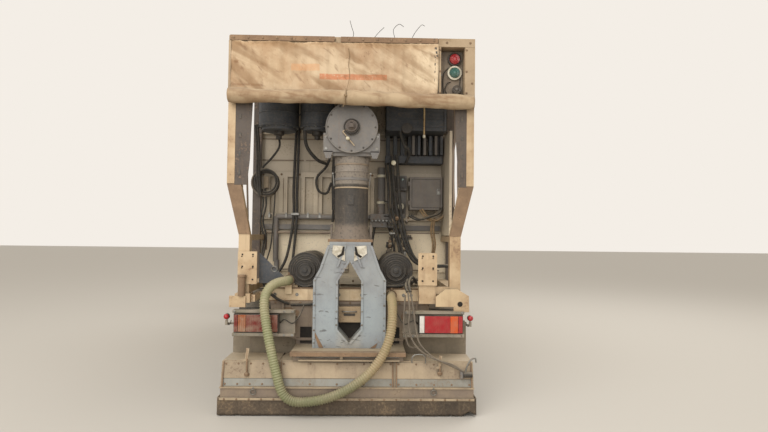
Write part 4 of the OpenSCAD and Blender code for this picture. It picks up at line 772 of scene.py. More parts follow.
def edgeStrip(points, inward):
    front, back = chute["face"] - chute["proud"], chute["face"] + 2
    for s in (-1, 1):
        rings = []
        for n, (x, z) in enumerate(points):
            along = Vector(points[min(n + 1, len(points) - 1)]) - Vector(points[max(n - 1, 0)])
            inner = Vector((x, z)) + Vector((along.y, -along.x)).normalized() * chute["strip"] * inward
            rings.append([(-s * x, front, z), (-s * inner.x, front, inner.y),
                          (-s * inner.x, back, inner.y), (-s * x, back, z)])
        piece.skin(rings)


def mirroredPlate(finish, outline, front, back):
    for s in (-1, 1):
        piece.use(finish).plate([(s * x + chute["shift"], z) for x, z in outline], front, back)


piece = Piece("chute_trim").use(chutePaint)
edgeStrip(chute["outer"], 1)
edgeStrip(chute["inner"], -1)
piece.use(zincSteel)
for x, heights in (chute["outerBolts"], chute["innerBolts"]):
    piece.bolts([(s * x, -4279, z) for s in (-1, 1) for z in heights], rearward, 7)
mirroredPlate(limeDust, chute["cup"], -4282, chute["face"])
mirroredPlate(openingShade, chute["slit"], -4285, -4281)
mirroredPlate(chutePaint, chute["arm"], -4284, chute["face"])
piece.use(stripPaint)
for gusset in chute["gussets"]:
    piece.plate(gusset, -4276, -4268)
piece.use(openingShade).box((-118, -4025, 640), (118, -4019, 838))
piece.use(creamPaint).box((-122, -4070, 836), (112, -4021, 1000))
piece.use(blackSteel).box((-64, -4078, 905), (52, -4069, 928))
piece.use(zincSteel).hoses([chute["handle"]], 6, parts=4).done(bevel=1)
print("stage: screw, spout and chute")

# Drums: stepped rings on the face, ribs along the barrel.
drum = {
    "x": 475, "z": 1375, "rib": (181, 6), "ribs": range(-3960, -3400, 70), "bolted": 139,
    "rings": [(176, -4016, 7), (150, -4017, 5), (128, -4017, 5), (104, -4056, 6), (84, -4057, 4),
        (62, -4086, 5)]}
piece = Piece("drum_trim").use(blackSteel)
for x in (-drum["x"], drum["x"]):
    for radius, y, thick in drum["rings"]:
        piece.torus((x, y, drum["z"]), (0, 1, 0), radius, thick, 44, 8)
    piece.bolts(circle((x, -4015, drum["z"]), (0, 2), drum["bolted"], 10, math.pi / 10), rearward, 7)
    for y in drum["ribs"]:
        piece.torus((x, y, drum["z"]), (0, 1, 0), *drum["rib"], 44, 6)
piece.done()

# Cross beam: edge strips, straps, its hoses and the clamps at the two stubs of the suction hose.
beam = {
    "bolts": (-790, -560, -300, -120, 120, 300, 560, 640, 790), "hose": 15,
    "strips": [((-852, -4021, 1176), (852, -4013, 1190)), ((-852, -4021, 1040), (852, -4013, 1056))],
    "straps": [((-260, -4040, 1060), (-190, -4014, 1176)), ((190, -4040, 1060), (260, -4014, 1176))],
    "clamps": [(-640, 1270, 1322, 1350), (432, 1120, 1172, 1198)],  # x, z, foot and top of the screw
    "lines": [[(-300, -4060, 1375), (-230, -4110, 1300), (-180, -4100, 1180), (-250, -4060, 1080),
               (-400, -4040, 1020), (-620, -4030, 1010)],
              [(300, -4060, 1375), (250, -4110, 1310), (230, -4100, 1220), (330, -4050, 1210),
               (560, -4050, 1225), (700, -4100, 1290)],
              [(-640, -4040, 1020), (-760, -4090, 1080), (-860, -4120, 1180), (-900, -4130, 1300),
               (-860, -4100, 1420)],
              [(640, -4060, 1240), (600, -4160, 1290), (570, -4250, 1240), (580, -4320, 1180)],
              [(690, -4060, 1250), (640, -4170, 1320), (600, -4260, 1260), (612, -4320, 1180)]]}
piece = Piece("beam_trim").use(rustPlate).boxes(beam["strips"])
piece.use(zincSteel).bolts([(x, -4015, 1115) for x in beam["bolts"]], rearward, 12)
piece.use(postPaint).boxes(beam["straps"]).use(blackRubber).hoses(beam["lines"], beam["hose"]).use(rustPlate)
for x, z, foot, top in beam["clamps"]:
    piece.torus((x, -4076, z), (0, 1, 0), 50, 6).box((x - 9, -4086, foot), (x + 9, -4066, top))
piece.done(bevel=1)

# Hopper wall: stiffeners, slots of painted shade, bolts and rust patches of a ragged outline.
hopper = {
    "ribs": (-700, -360, 360, 700), "bolts": range(-780, 800, 130),
    "bands": [((-832, -4032, 1018), (832, -4019, 1046)), ((-560, -4034, 640), (560, -4019, 668))],
    "slots": [((-520, -4024, 612), (-400, -4019, 780)), ((440, -4024, 612), (520, -4019, 780))],
    "patches": [(-640, 900, 190, 150, 2.2), (620, 860, 160, 200, 5.8),
                (-250, 800, 120, 180, 3.6), (250, 930, 90, 110, 8.8)],  # x, z, width, height, seed
    "rods": [((-330, -4060, 730), (-140, -4060, 730), 10), ((140, -4060, 730), (340, -4060, 730), 10)]}


def rustPatch(x, z, wide, high, seed):
    outline = []
    for a in anglesOf(26):
        jag = 1 + 0.35 * noise.noise(Vector((math.cos(a) * 1.6, math.sin(a) * 1.6, seed)))
        outline.append([middle + size / 2 * jag * math.copysign(abs(part) ** 0.7, part)
                        for middle, size, part in ((x, wide, math.cos(a)), (z, high, math.sin(a)))])
    piece.plate(outline, -4020, -4021.5)


piece = Piece("hopper_trim").use(hopperPaint)
piece.boxes([((x - 9, -4050, 760), (x + 9, -4019, 1040)) for x in hopper["ribs"]]).boxes(hopper["bands"])
piece.use(openingShade).boxes(hopper["slots"])
piece.use(rustPlate).bolts([(x, -4032, 1032) for x in hopper["bolts"]], rearward, 8)
for patch in hopper["patches"]:
    rustPatch(*patch)
piece.use(zincSteel).bars(hopper["rods"]).done(bevel=1.5)

# Posts: bolt holes as discs of painted shade, pale outer strips, dark fins, knees, the towing plate with a
# hole of painted shade, and loose strips of cloth.
posts = {
    "plates": (-1120, 690), "holes": [(u, z) for u in (45, 150) for z in (1290, 1420, 1540)],
    "fin": [(1070, 22, 2240), (1050, 28, 2500), (1038, 22, 2760), (1026, 26, 3112)],  # inner x, its tilt, z
    "knee": [(1108, 2250), (1249, 2250), (1122, 1742), (1008, 1742)], "hinges": range(2340, 3100, 190),
    "tow": [(866, 1134), (962, 1211), (1081, 1214), (1199, 1146), (1204, 984), (1046, 984), (1046, 1036),
            (866, 1036)],
    "cloths": [(1080, 3100, 2050, 34), (1128, 3110, 1830, 26), (1170, 3110, 2300, 30),
               (-1086, 3100, 1900, 34), (-1146, 3105, 2140, 28)]}  # x, top, foot, width
piece = Piece("post_trim").use(openingShade)
for x in posts["plates"]:
    for u, z in posts["holes"]:
        piece.lathe([(9, 0), (9, 3)], (x + u, -4300, z), rearward, 16)
for s in (-1, 1):
    piece.use(postPaint).box((s * 1172, -4290, 2252), (s * 1248, -4279, 3112))
    piece.use(finPlate).box((s * 1118, -3176, 1210), (s * 1214, -3128, 3520))
    rings = [[(s * inner + tilt, y, z) for y in (-4286, -4279)] + [(s * 1174, y, z) for y in (-4279, -4286)]
             for inner, tilt, z in posts["fin"]]
    piece.skin(rings)
    piece.use(rustPlate).plate([(s * x, z) for x, z in posts["knee"]], -4284, -4279).use(chassisPaint)
    piece.boxes([((s * 1112, -4292, z), (s * 1136, -4284, z + 46)) for z in posts["hinges"]])
piece.use(creamPaint).plate(posts["tow"], -4328, -4316).box((-1190, -4340, 1018), (-1028, -4316, 1130))
piece.use(openingShade).lathe([(26, 0), (26, 4)], (1110, -4328, 1064), rearward)
piece.use(rustPlate).bar((-1070, -4330, 1128), (-1070, -4330, 1332), 34)
piece.lathe([(42, 0), (42, 22)], (-1070, -4330, 1318), upward)
piece.use(navyPaint).plate([(-925, 1556), (-598, 1246), (-925, 1246)], -4196, -4184)
piece.use(zincSteel).torus((-770, -4200, 1392), (0, 1, 0.3), 28, 6).use(hopperPaint)
for x, top, foot, wide in posts["cloths"]:
    middle = (top + foot) / 2
    line = [(x, -4060, top), (x + 8, -4050, middle + 200), (x - 10, -4060, middle), (x + 4, -4040, foot)]
    piece.hoses([line], wide / 3, 6)
piece.done(bevel=1.5)
print("stage: beam, hopper and posts")

# Hoses and cables on the bay wall, as dressed runs, with a coil that hangs from the left post. Each run is
# its finish, radius, copies, their spread and its points.
coil = {
    "x": -1050, "y": -3205, "z": 2352, "thick": 11,
    "turns": [(152, 0, 0), (138, 12, -10), (160, -8, 6), (126, 6, 16), (146, 14, 10)]}  # radius, x, z
wallRuns = [
    (blackRubber, 13, 1, 0, [(-900, -3300, 2930), (-890, -3260, 2790), (-980, -3220, 2660),
        (-1086, -3205, 2550), (-1120, -3205, 2470)]),
    (blackRubber, 10, 2, 30, [(-1080, -3200, 2280), (-1060, -3210, 2100), (-1090, -3220, 1900),
        (-1050, -3200, 1700), (-1080, -3200, 1480)]),
    (blackRubber, 8, 1, 0, [(-938, -3215, 2280), (-946, -3220, 2060), (-962, -3210, 1830),
        (-984, -3200, 1600), (-1040, -3220, 1380)]),
    (blackRubber, 16, 1, 0, [(-700, -3190, 3040), (-712, -3200, 2600), (-722, -3190, 2250),
        (-716, -3190, 1985), (-748, -3195, 1700), (-800, -3230, 1440), (-900, -3300, 1250)]),
    (blackRubber, 16, 1, 0, [(-668, -3190, 3040), (-672, -3200, 2600), (-682, -3190, 2250),
        (-678, -3190, 1985), (-696, -3195, 1700), (-716, -3230, 1440), (-740, -3300, 1250)]),
    (blackRubber, 15, 1, 0, [(-280, -3230, 2700), (-330, -3240, 2560), (-440, -3250, 2420),
        (-420, -3260, 2270), (-320, -3250, 2240), (-262, -3240, 2360), (-240, -3240, 2100),
        (-250, -3200, 1900)]),
    (blackRubber, 33, 1, 0, [(-225, -3260, 2680), (-232, -3270, 2400), (-226, -3260, 2040)]),
    (blackRubber, 18, 2, 46, [(470, -3420, 2680), (490, -3400, 2450), (510, -3390, 2230), (545, -3400, 1980),
        (600, -3430, 1720), (700, -3470, 1480), (860, -3500, 1400), (1128, -3560, 1404)]),
    (blackRubber, 14, 2, 34, [(395, -3330, 2600), (430, -3350, 2300), (440, -3380, 2050), (500, -3420, 1780),
        (560, -3460, 1560), (580, -3560, 1400)]),
    (blackRubber, 12, 2, 24, [(660, -3400, 1980), (760, -3430, 1930), (880, -3420, 1960), (1000, -3380, 2010),
        (1040, -3340, 2090)]),
    (jute, 11, 2, 26, [(790, -3380, 2050), (860, -3400, 1960), (960, -3380, 1920), (1080, -3350, 1990)]),
    (jute, 12, 2, 22, [(940, -3380, 1950), (925, -3390, 1800), (950, -3380, 1640), (930, -3380, 1480)]),
    (blackRubber, 20, 1, 0, [(-560, -3560, 2960), (-540, -3500, 2760), (-430, -3420, 2620),
        (-330, -3330, 2580)]),
    (blackRubber, 16, 1, 0, [(520, -3620, 2960), (560, -3560, 2820), (640, -3500, 2700), (600, -3400, 2580)]),
    (blackRubber, 14, 2, 22, [(-1120, -3500, 3000), (-1110, -3400, 2700), (-1125, -3300, 2450),
        (-1110, -3250, 2200)]),
    (blackRubber, 16, 3, 60, [(-360, -3200, 1420), (-380, -3260, 1300), (-350, -3300, 1190)]),
    (blackRubber, 15, 3, 44, [(200, -3220, 1830), (180, -3300, 1600), (260, -3330, 1400),
        (240, -3400, 1200)])]
drainPipe = [
    (-916, -3157, 1440), (-916, -3157, 1350), (-920, -3175, 1300), (-934, -3215, 1262), (-950, -3262, 1240)]
piece = Piece("wall_hoses")
for k, (radius, dx, dz) in enumerate(coil["turns"]):
    piece.use(dustyRubber if k == 2 else blackRubber)
    piece.torus((coil["x"] + dx, coil["y"] - 15 * k, coil["z"] + dz), (0.05 * k, 1, 0.03 * k), radius,
                coil["thick"], 44, 8)
for finish, radius, copies, spread, points in wallRuns:
    piece.use(finish)
    for k in range(copies):
        shift = Vector((spread * (k - (copies - 1) / 2), -6 * (k % 2), 5 * (k % 3)))
        line = [Vector(p) + shift * (1 + 0.25 * math.sin(n + k)) for n, p in enumerate(points)]
        piece.hoses([line], radius)
piece.use(boxPaint).box((-1086, -3168, 2300), (-1026, -3140, 2440)).use(greyPaint).tube(drainPipe, 30, 14)
piece.done()

# Rails, clips, valves, gauge and filter on the bay wall, and the small fittings low on its right side.
wallGear = {
    "face": -3125, "bolts": [(x, z) for x in range(-1100, 1101, 220) for z in (1190, 1960, 2470, 2985)],
    "hidden": (420, 1100, 2470), "clips": (-1020, -820, -560, -420),
    "valves": [(395, 2150), (455, 2060), (395, 1975)], "nipples": [225 + k * 42 for k in range(6)],
    "nipple": [(16, 0), (16, 26), (12, 30), (12, 44)], "gauge": (558, 2090),
    "band": [(45, 0), (53, 4), (53, 30), (45, 34)], "lamp": [(14, 0), (12, 10)],
    "beams": [((-1076, -3138, 1806), (-262, -3100, 1866)), ((600, -3138, 1806), (1046, -3100, 1866))],
    "pipe": [((-1050, -3160, 1768), (-262, -3160, 1768), 15),
             ((-1050, -3160, 1560), (-1050, -3160, 1768), 15)],
    "panels": [(-1120, -620), (-590, -60), (80, 560), (590, 1040)],
    "lines": [(-3112, -3102, 1318), (-3112, -3102, 1770), (-3090, -3078, 2640), (-3090, -3078, 2900)]}
x, z = wallGear["gauge"]
piece = Piece("wall_gear").use(greyPaint).boxes(wallGear["beams"]).use(hopperPaint).bars(wallGear["pipe"])
for x0 in range(-1075, 1050, 210):
    piece.box((x0 + 8, -3132, 2012), (x0 + 14, -3124, 2425))
for x0, x1 in wallGear["panels"]:
    piece.boxes([((x0, front, foot), (x1, back, foot + 12)) for front, back, foot in wallGear["lines"]])
piece.use(whitePlastic).lathe([(44, 0), (44, 12), (40, 14)], (x, -3285, z), rearward)
for foot in (2120, 2440):
    piece.lathe(wallGear["band"], (330, -3180, foot), upward)
piece.use(blackSteel).bar((x, -3298, z), (x + 24, -3298, z + 20), 3, 6).torus((x, -3297, z), (0, 1, 0), 44, 5)
piece.box((500, -3300, 2310), (612, -3296, 2440))
piece.boxes([((505 + 28 * k, -3250, 2015), (521 + 28 * k, -3233, 2045)) for k in range(4)])
piece.use(redLens).lathe(wallGear["lamp"], (530, -3299, 2410), rearward, 16)
piece.use(greenLens).lathe(wallGear["lamp"], (580, -3299, 2410), rearward, 16)
for x, z in wallGear["valves"]:
    piece.use(zincSteel).bar((x, -3270, z), (x, -3215, z), 17, 6)
    piece.use(blackSteel).bar((x - 34, -3280, z), (x + 34, -3280, z), 7)
piece.use(zincSteel).box((-744, -3222, 1975), (-652, -3176, 2002))
piece.box((980, -3362, 2230), (1022, -3352, 2290))
piece.bar((1001, -3376, 2262), (1001, -3358, 2262), 12)
for x in wallGear["clips"]:
    piece.box((x, -3196, 1944), (x + 26, -3122, 1986)).bolt((x + 13, -3196, 1996), rearward, 8)
for x in wallGear["nipples"]:
    piece.lathe(wallGear["nipple"], (x, -3272, 1918), rearward, 6)
low, high, row = wallGear["hidden"]
shown = [(x, wallGear["face"], z) for x, z in wallGear["bolts"] if not low < x < high or z != row]
piece.use(rustPlate).bolts(shown, rearward, 9)
fittings = {
    "count": 40, "low": (372, 1250), "high": (640, 1990), "back": -3290, "deep": 150, "size": (16, 14),
    "finishes": (zincSteel, rustPlate, hopperPaint, blackSteel), "axes": (upward, (1, 0, 0), (0, -1, 0.3)),
    "cables": 7, "cable": (400, 32, 1900, 70)}
for n in range(fittings["count"]):
    x = fittings["low"][0] + (fittings["high"][0] - fittings["low"][0]) * random.random()
    z = fittings["low"][1] + (fittings["high"][1] - fittings["low"][1]) * (n / fittings["count"])
    y = fittings["back"] - fittings["deep"] * random.random()
    size = fittings["size"][0] + fittings["size"][1] * random.random()
    piece.use(random.choice(fittings["finishes"]))
    if n % 3:
        stem = [(size, 0), (size, 34), (size * 0.7, 38), (size * 0.7, 66)]
        piece.lathe(stem, (x, y, z), random.choice(fittings["axes"]), 6 if n % 2 else 18)
    else:
        piece.box((x - size, y - 20, z - size * 1.4), (x + size, y + 20, z + size * 1.4))
piece.use(blackRubber)
firstX, stepX, firstZ, stepZ = fittings["cable"]
for n in range(fittings["cables"]):
    x, z = firstX + stepX * n, firstZ - stepZ * (n % 4)
    line = [(x, -3300, z), (x + 20 - 9 * n, -3380, z - 90), (x + 60 - 14 * n, -3400, z - 260),
            (x + 10, -3340, z - 420 - 22 * n)]
    piece.hoses([line], 7 + n % 3, 8, parts=5)
piece.done(bevel=1)

# Cabinet door: handle plate and the folded edge of its panel.
cabinetTrim = {"low": (684, 2074), "high": (1022, 2412), "edge": 6, "front": -3361, "back": -3357}
(x0, z0), (x1, z1), edge = cabinetTrim["low"], cabinetTrim["high"], cabinetTrim["edge"]
front, back = cabinetTrim["front"], cabinetTrim["back"]
piece = Piece("cabinet_trim", "cabinet_door").use(zincSteel).box((984, -3366, 2235), (1016, back, 2300))
piece.use(blackSteel).box((x0, front, z0), (x1, back, z0 + edge)).box((x0, front, z1 - edge), (x1, back, z1))
piece.box((x0, front, z0 + edge), (x0 + edge, back, z1 - edge))
piece.box((x1 - edge, front, z0 + edge), (x1, back, z1 - edge)).done(bevel=1)

# Dust filters: two pots with clamp rings and outlets on the left, the louvred box with tubes on the right.
filters = {
    "pots": [(-860, 225), (-420, 195)], "y": -3500, "rings": (2975, 3120, 3300, 3520, 3690), "foot": 2960,
    "outlet": [(60, 0), (60, 40), (34, 52), (34, 90)], "louvres": range(2970, 3700, 90), "tubes": 6,
    "frames": [((372, -3656, 2932), (396, -3638, 3728)), ((1024, -3656, 2932), (1048, -3638, 3728))],
    "float": [(4, 0), (15, 10), (15, 34), (4, 44)], "gauge": [(8, 0), (27, 12), (27, 30), (8, 42)]}
piece = Piece("filter_trim")
for x, radius in filters["pots"]:
    piece.use(navyPaint)
    for z in filters["rings"]:
        piece.torus((x, filters["y"], z), upward, radius + 2, 7, 52, 8)
    piece.use(zincSteel)
    piece.bolts(circle((x, filters["y"], filters["foot"]), (0, 1), radius - 12, 12), (0, 0, -1), 8)
    piece.use(blackSteel).lathe(filters["outlet"], (x, filters["y"], 2925), (0, 0, -1))
piece.use(navyPaint).boxes([((380, -3652, z), (1040, -3640, z + 22)) for z in filters["louvres"]])
piece.boxes(filters["frames"]).use(yellowPaint).bar((795, -3668, 2880), (795, -3668, 3190), 9)
piece.use(whitePlastic).lathe(filters["float"], (795, -3668, 2842), upward, 20)
piece.lathe(filters["gauge"], (455, -3650, 2560), rearward, 20)
for k in range(filters["tubes"]):
    x = 1010 - 66 * k
    piece.use(cabinetPaint if k % 2 else navyPaint).box((x, -3420, 2690), (x + 30, -3330, 2915))
piece.use(blackSteel).bar((600, -3700, 2950), (600, -3640, 2950), 60)
piece.bar((-1100, -3700, 3640), (1100, -3700, 3640), 24)
piece.done(bevel=1.5)
print("stage: bay wall")

# Tail lamps with ribbed lenses, the left ones dirty, marker lamps on stalks, and mud flaps.
lamps = {
    "cells": {
        -1: [(700, 760, dirtyRed), (760, 1010, dirtyRed), (1010, 1090, dirtyOrange), (1090, 1130, dirtyRed)],
        1: [(700, 750, whiteLens), (750, 1005, redLens), (1005, 1085, orangeLens), (1085, 1130, redLens)]},
    "rib": 18, "ribWide": 9, "screws": (720, 800, 880, 1040, 1120),
    "bolts": [(560, 980), (640, 980), (560, 748), (640, 748), (1130, 980)], "marker": (1215, -4330, 924),
    "markerBack": [(29, -34), (29, -4), (26, 0)],
    "markerLens": [(27, -4), (26, 12), (20, 23), (9, 29), (2, 30)],
    "cable": [(690, -4290, 860), (640, -4330, 900), (560, -4320, 860), (500, -4250, 930), (470, -4150, 1020)],
    "cord": [(1180, -4270, 880), (1190, -4300, 840), (1215, -4290, 850), (1215, -4300, 900)]}
piece = Piece("lamp_clusters")
for s, cells in lamps["cells"].items():
    piece.use(blackSteel).box((s * 696, -4372, 776), (s * 1134, -4281, 957))
    for x0, x1, lens in cells:
        a, b = sorted((s * (x0 + 2), s * (x1 - 2)))
        piece.use(lens).box((a, -4386, 784), (b, -4370, 949))
        for x in range(a + 8, b - 6, lamps["rib"]):
            piece.box((x, -4389, 790), (x + lamps["ribWide"], -4385, 943))
    piece.use(bracketPaint).box((s * 702, -4372, 741), (s * 1148, -4361, 772)).use(zincSteel)
    for x in lamps["screws"]:
        piece.lathe([(7, 0), (7, 3)], (s * x, -4372, 756), rearward, 14)
    piece.bolts([(s * x, -4360, z) for x, z in lamps["bolts"]], rearward, 9)
    x, y, z = lamps["marker"]
    piece.use(blackSteel).lathe(lamps["markerBack"], (s * x, y, z), rearward, 28)
    piece.use(redLens).lathe(lamps["markerLens"], (s * x, y, z), rearward, 28)
    piece.use(blackRubber).hoses([flip(lamps["cable"], s)], 7, 8).hoses([flip(lamps["cord"], s)], 4, 6)
piece.done(bevel=2, replaced=["tail_lamps"], slot="lamp_red")

flaps = {
    "inner": 562, "wide": 676, "top": 828, "drop": 526, "long": 527, "y": -3916, "lean": 16, "wave": 9,
    "thick": 8}
for s, side in ((-1, "left"), (1, "right")):
    def flapPoint(u, v):
        wave = flaps["wave"] * v * noise.noise(Vector((u * 5, v * 2, s)))
        return (s * (flaps["inner"] + flaps["wide"] * u), flaps["y"] - flaps["lean"] * v * v - wave,
                flaps["top"] - flaps["drop"] * v)

    flap = Piece("mud_flap_" + side).use(flapRubber).sheet(flapPoint, 28, 18)
    flap = flap.done(replaced=["mud_flaps"], slot="flap_rubber", thick=flaps["thick"], sharp=180)
print("stage: lamps and flaps")

# Tyres with their tread, and the nuts and caps of the wheels.
tyre = {
    "centre": 510, "pitches": 56, "depth": 13, "shoulder": 60, "middle": 26, "slant": 0.0006,
    "lugs": [(0.0, 1), (0.13, 1), (0.16, 0), (0.97, 0)],  # share of a pitch, cut or not
    "side": [(-102, 287), (-118, 300), (-132, 324), (-141, 352), (-142.5, 372), (-141, 405), (-137, 440),
             (-134, 462), (-130, 478), (-118, 496), (-100, 506), (-66, 509), (-62, 496), (-54, 496),
             (-50, 509.5), (-24, 510), (-20, 497), (-12, 497), (-8, 510)]}
tyreSection = tyre["side"] + [(-w, r) for w, r in tyre["side"][::-1]]


def treadRing(x, y, slant):
    rings = []
    for k in range(tyre["pitches"]):
        for part, cut in tyre["lugs"]:
            a = 2 * math.pi * (k + part) / tyre["pitches"]
            ring = []
            for w, r in tyreSection:
                shoulder = abs(w) > tyre["shoulder"] and r > 470
                middle = abs(w) < tyre["middle"] and r > 500
                r -= tyre["depth"] * cut * (1 if shoulder else 0.6 if middle else 0)
                turned = a + slant * abs(w)
                ring.append((x + w, y + r * math.cos(turned), tyre["centre"] + r * math.sin(turned)))
            rings.append(ring)
    piece.skin([*rings, rings[0]], closed=False)


def hubTrim(x, y, s, face, hub, cap):
    out, centre = (s, 0, 0), tyre["centre"]
    piece.use(zincSteel).bolts(circle((x + s * face, y, centre), (1, 2), 128, 10), out, 14)
    shape = [(104, -2), (101, cap * 0.5), (84, cap * 0.85), (40, cap), (6, cap + 1)]
    piece.use(rimPaint).lathe(shape, (x + s * hub, y, centre), out, 40)
    piece.use(zincSteel).torus((x + s * hub, y, centre), (1, 0, 0), 88, 5)
    piece.bolts(circle((x + s * (hub + cap * 0.8), y, centre), (1, 2), 74, 8), out, 8)


wheels = [  # axle, y, x of its tyres, x of the hub, then how far out the nuts and the cap sit, and its height
    ("front", 3150, [1040], 1040, (98, 150, 42)), ("drive", -1750, [770, 1090], 930, (58, 130, 34)),
    ("last", -3100, [770, 1090], 930, (58, 130, 34))]
airLine = [(1000, 205, 560), (1060, 235, 585), (1130, 262, 600)]
for axle, y, places, hubX, hub in wheels:
    for s, side in ((-1, "left"), (1, "right")):
        body = f"wheel_{axle}_{side}"
        node = f"tyre_front_{side}" if axle == "front" else f"tyres_{axle}_{side}"
        piece = Piece(f"treads_{axle}_{side}", body).use(tyreRubber)
        for x in places:
            treadRing(s * x, y, s * tyre["slant"])
        piece.done(replaced=[node], slot="tyre_rubber", sharp=28, weld=True)
        piece = Piece(f"hub_{axle}_{side}", body)
        hubTrim(s * hubX, y, s, *hub)
        if axle != "front":
            piece.hoses([[(s * x, y + forward, z) for x, forward, z in airLine]], 5, 8)
        piece.done(bevel=1)
print("stage: wheels")

# Cab: seals, wipers, visor, beacons, handles, grille and mirror glass on the CAD shell.
cab = {
    "front": 4440, "belt": 1919.2, "rake": 130 / 870.8, "seal": (1070, 1955, 2734),
    "wipers": [(-620, -20), (80, 680)], "hub": [(26, 0), (22, 30), (8, 34)],
    "visor": [(4322, 2800), (4470, 2752), (4476, 2764), (4318, 2850)], "stays": (-1060, 0, 1060),
    "beacon": [(70, 0), (70, 60), (62, 90), (40, 108), (6, 112)], "beaconFoot": [(84, 0), (84, 26), (70, 30)],
    "marker": [(34, -10), (34, 22), (26, 34), (5, 38)], "grille": range(1250, 1900, 92),
    "frame": [((-790, 4436, 1225), (-764, 4456, 1900)), ((764, 4436, 1225), (790, 4456, 1900)),
        ((-790, 4436, 1890), (790, 4456, 1912))],
    "door": [(1222, 3225, 1235), (1223, 3225, 2722), (1223, 4214, 2722), (1222, 4214, 1235),
        (1222, 3225, 1235)],
    "grip": [(1222, 3180, 1400), (1262, 3180, 1440), (1262, 3180, 2180), (1222, 3180, 2220)]}


def cabFace(x, z, off=0):
    return (x, cab["front"] - cab["rake"] * (z - cab["belt"]) + off, z)


piece = Piece("cab_trim", "cab").use(blackRubber)
half, low, high = cab["seal"]
corners = [(-half, low), (-half, high), (half, high), (half, low), (-half, low)]
seal = [Vector(cabFace(x, z, 2)) for x, z in corners]
piece.tube([a.lerp(b, t / 6) for a, b in zip(seal, seal[1:]) for t in range(6)] + [seal[0]], 14, 8)
piece.use(guardPlastic)
for x0, x1 in cab["wipers"]:
    piece.tube([cabFace(x0, 1932, 18), cabFace((x0 + x1) / 2, 2180, 22), cabFace(x1, 2330, 20)], 8, 8)
    piece.tube([cabFace(x1 - 240, 2060, 16), cabFace(x1 - 40, 2420, 16), cabFace(x1 + 90, 2620, 14)], 6, 6)
    piece.lathe(cab["hub"], cabFace(x0, 1932, -2), (0, 1, 0.1), 20)
piece.skin([[(x, y, z) for y, z in cab["visor"]] for x in (-1120, 1120)])
piece.boxes([((x - 14, 4300, 2790), (x + 14, 4430, 2812)) for x in cab["stays"]]).boxes(cab["frame"])
piece.boxes([((-760, 4438, z), (760, 4450, z + 34)) for z in cab["grille"]])
piece.box((-330, 3000, 2938), (330, 3520, 2972))
for x in (-900, 900):
    piece.use(guardPlastic).lathe(cab["beaconFoot"], (x, 3300, 2936), upward)
    piece.use(orangeLens).lathe(cab["beacon"], (x, 3300, 2962), upward)
for x in (-420, 0, 420):
    piece.lathe(cab["marker"], (x, 4160, 2905), (0, 0.9, 0.45), 20)
piece.use(greyPaint).box((-300, 3030, 2970), (300, 3490, 2984))
for s in (-1, 1):
    piece.use(creamPaint).box((s * 830, 4438, 1300), (s * 1170, 4446, 1860))
    piece.use(blackRubber).tube(flip(cab["door"], s), 7, 6)
    piece.use(guardPlastic).hoses([flip(cab["grip"], s)], 13, parts=4)
    piece.use(mirrorGlass).box((s * 1275, 4249, 2110), (s * 1435, 4254, 2508))
piece.done(bevel=3)

headlamps = {
    "x": (788, 948), "y": 4450, "z": 605, "bowl": [(30, 0), (64, 26), (68, 30)],
    "lens": [(68, 28), (60, 36), (30, 41), (5, 42)]}
piece = Piece("headlamps")
for s in (-1, 1):
    piece.use(blackSteel).box((s * 702, 4441, 522), (s * 1058, 4450, 688))
    for x in headlamps["x"]:
        place = (s * x, headlamps["y"], headlamps["z"])
        piece.use(mirrorGlass).lathe(headlamps["bowl"], place, (0, 1, 0))
        piece.use(whiteLens).lathe(headlamps["lens"], place, (0, 1, 0))
        piece.use(zincSteel).torus((s * x, 4480, headlamps["z"]), (0, 1, 0), 70, 4)
    piece.use(orangeLens).box((s * 1022, 4450, 532), (s * 1054, 4488, 680))
piece.done(bevel=3, replaced=["front_lamps"], slot="lamp_glass")

bumper = {
    "strips": [((-1240, 4494, 432), (1240, 4500, 470)), ((-560, 4494, 744), (560, 4500, 760))],
    "bolts": [(x, 4494, 720) for x in (-1180, -640, 640, 1180)], "steps": (472, 792), "ribs": 9, "pitch": 38}
piece = Piece("bumper_trim").use(guardPlastic).boxes(bumper["strips"])
piece.use(zincSteel).bolts(bumper["bolts"], (0, 1, 0), 12).bar((0, 4470, 430), (0, 4470, 566), 19)
piece.use(blackSteel)
for s in (-1, 1):
    for z in bumper["steps"]:
        piece.box((s * 1002, 3920, z), (s * 1232, 4285, z + 8))
        for y in range(3935, 3935 + bumper["ribs"] * bumper["pitch"], bumper["pitch"]):
            piece.box((s * 1010, y, z + 7), (s * 1226, y + 12, z + 14))
piece.done(bevel=1.5)

doors = {
    "seal": [(1218, 3320, 1980), (1218, 3320, 2640), (1218, 4120, 2640), (1218, 4120, 1980),
        (1218, 3320, 1980)],
    "handle": [(1222, 3320, 1842), (1246, 3345, 1842), (1246, 3430, 1842), (1222, 3455, 1842)],
    "plates": [((1219, 3300, 1800), (1226, 3470, 1870)), ((1219, 3250, 1500), (1223, 4195, 1560)),
        ((1150, 3300, 1500), (1166, 4100, 1560))]}
for s, side in ((-1, "left"), (1, "right")):
    piece = Piece("door_trim_" + side, "door_" + side)
    piece.use(windowGlass).box((s * 1186, 3316, 1975), (s * 1191, 4124, 2644))
    piece.use(blackRubber).tube(flip(doors["seal"], s), 11, 6)
    piece.use(guardPlastic).boxes([flip(corners, s) for corners in doors["plates"]])
    piece.hoses([flip(doors["handle"], s)], 9, 8, parts=4).done(bevel=2)
print("stage: cab")

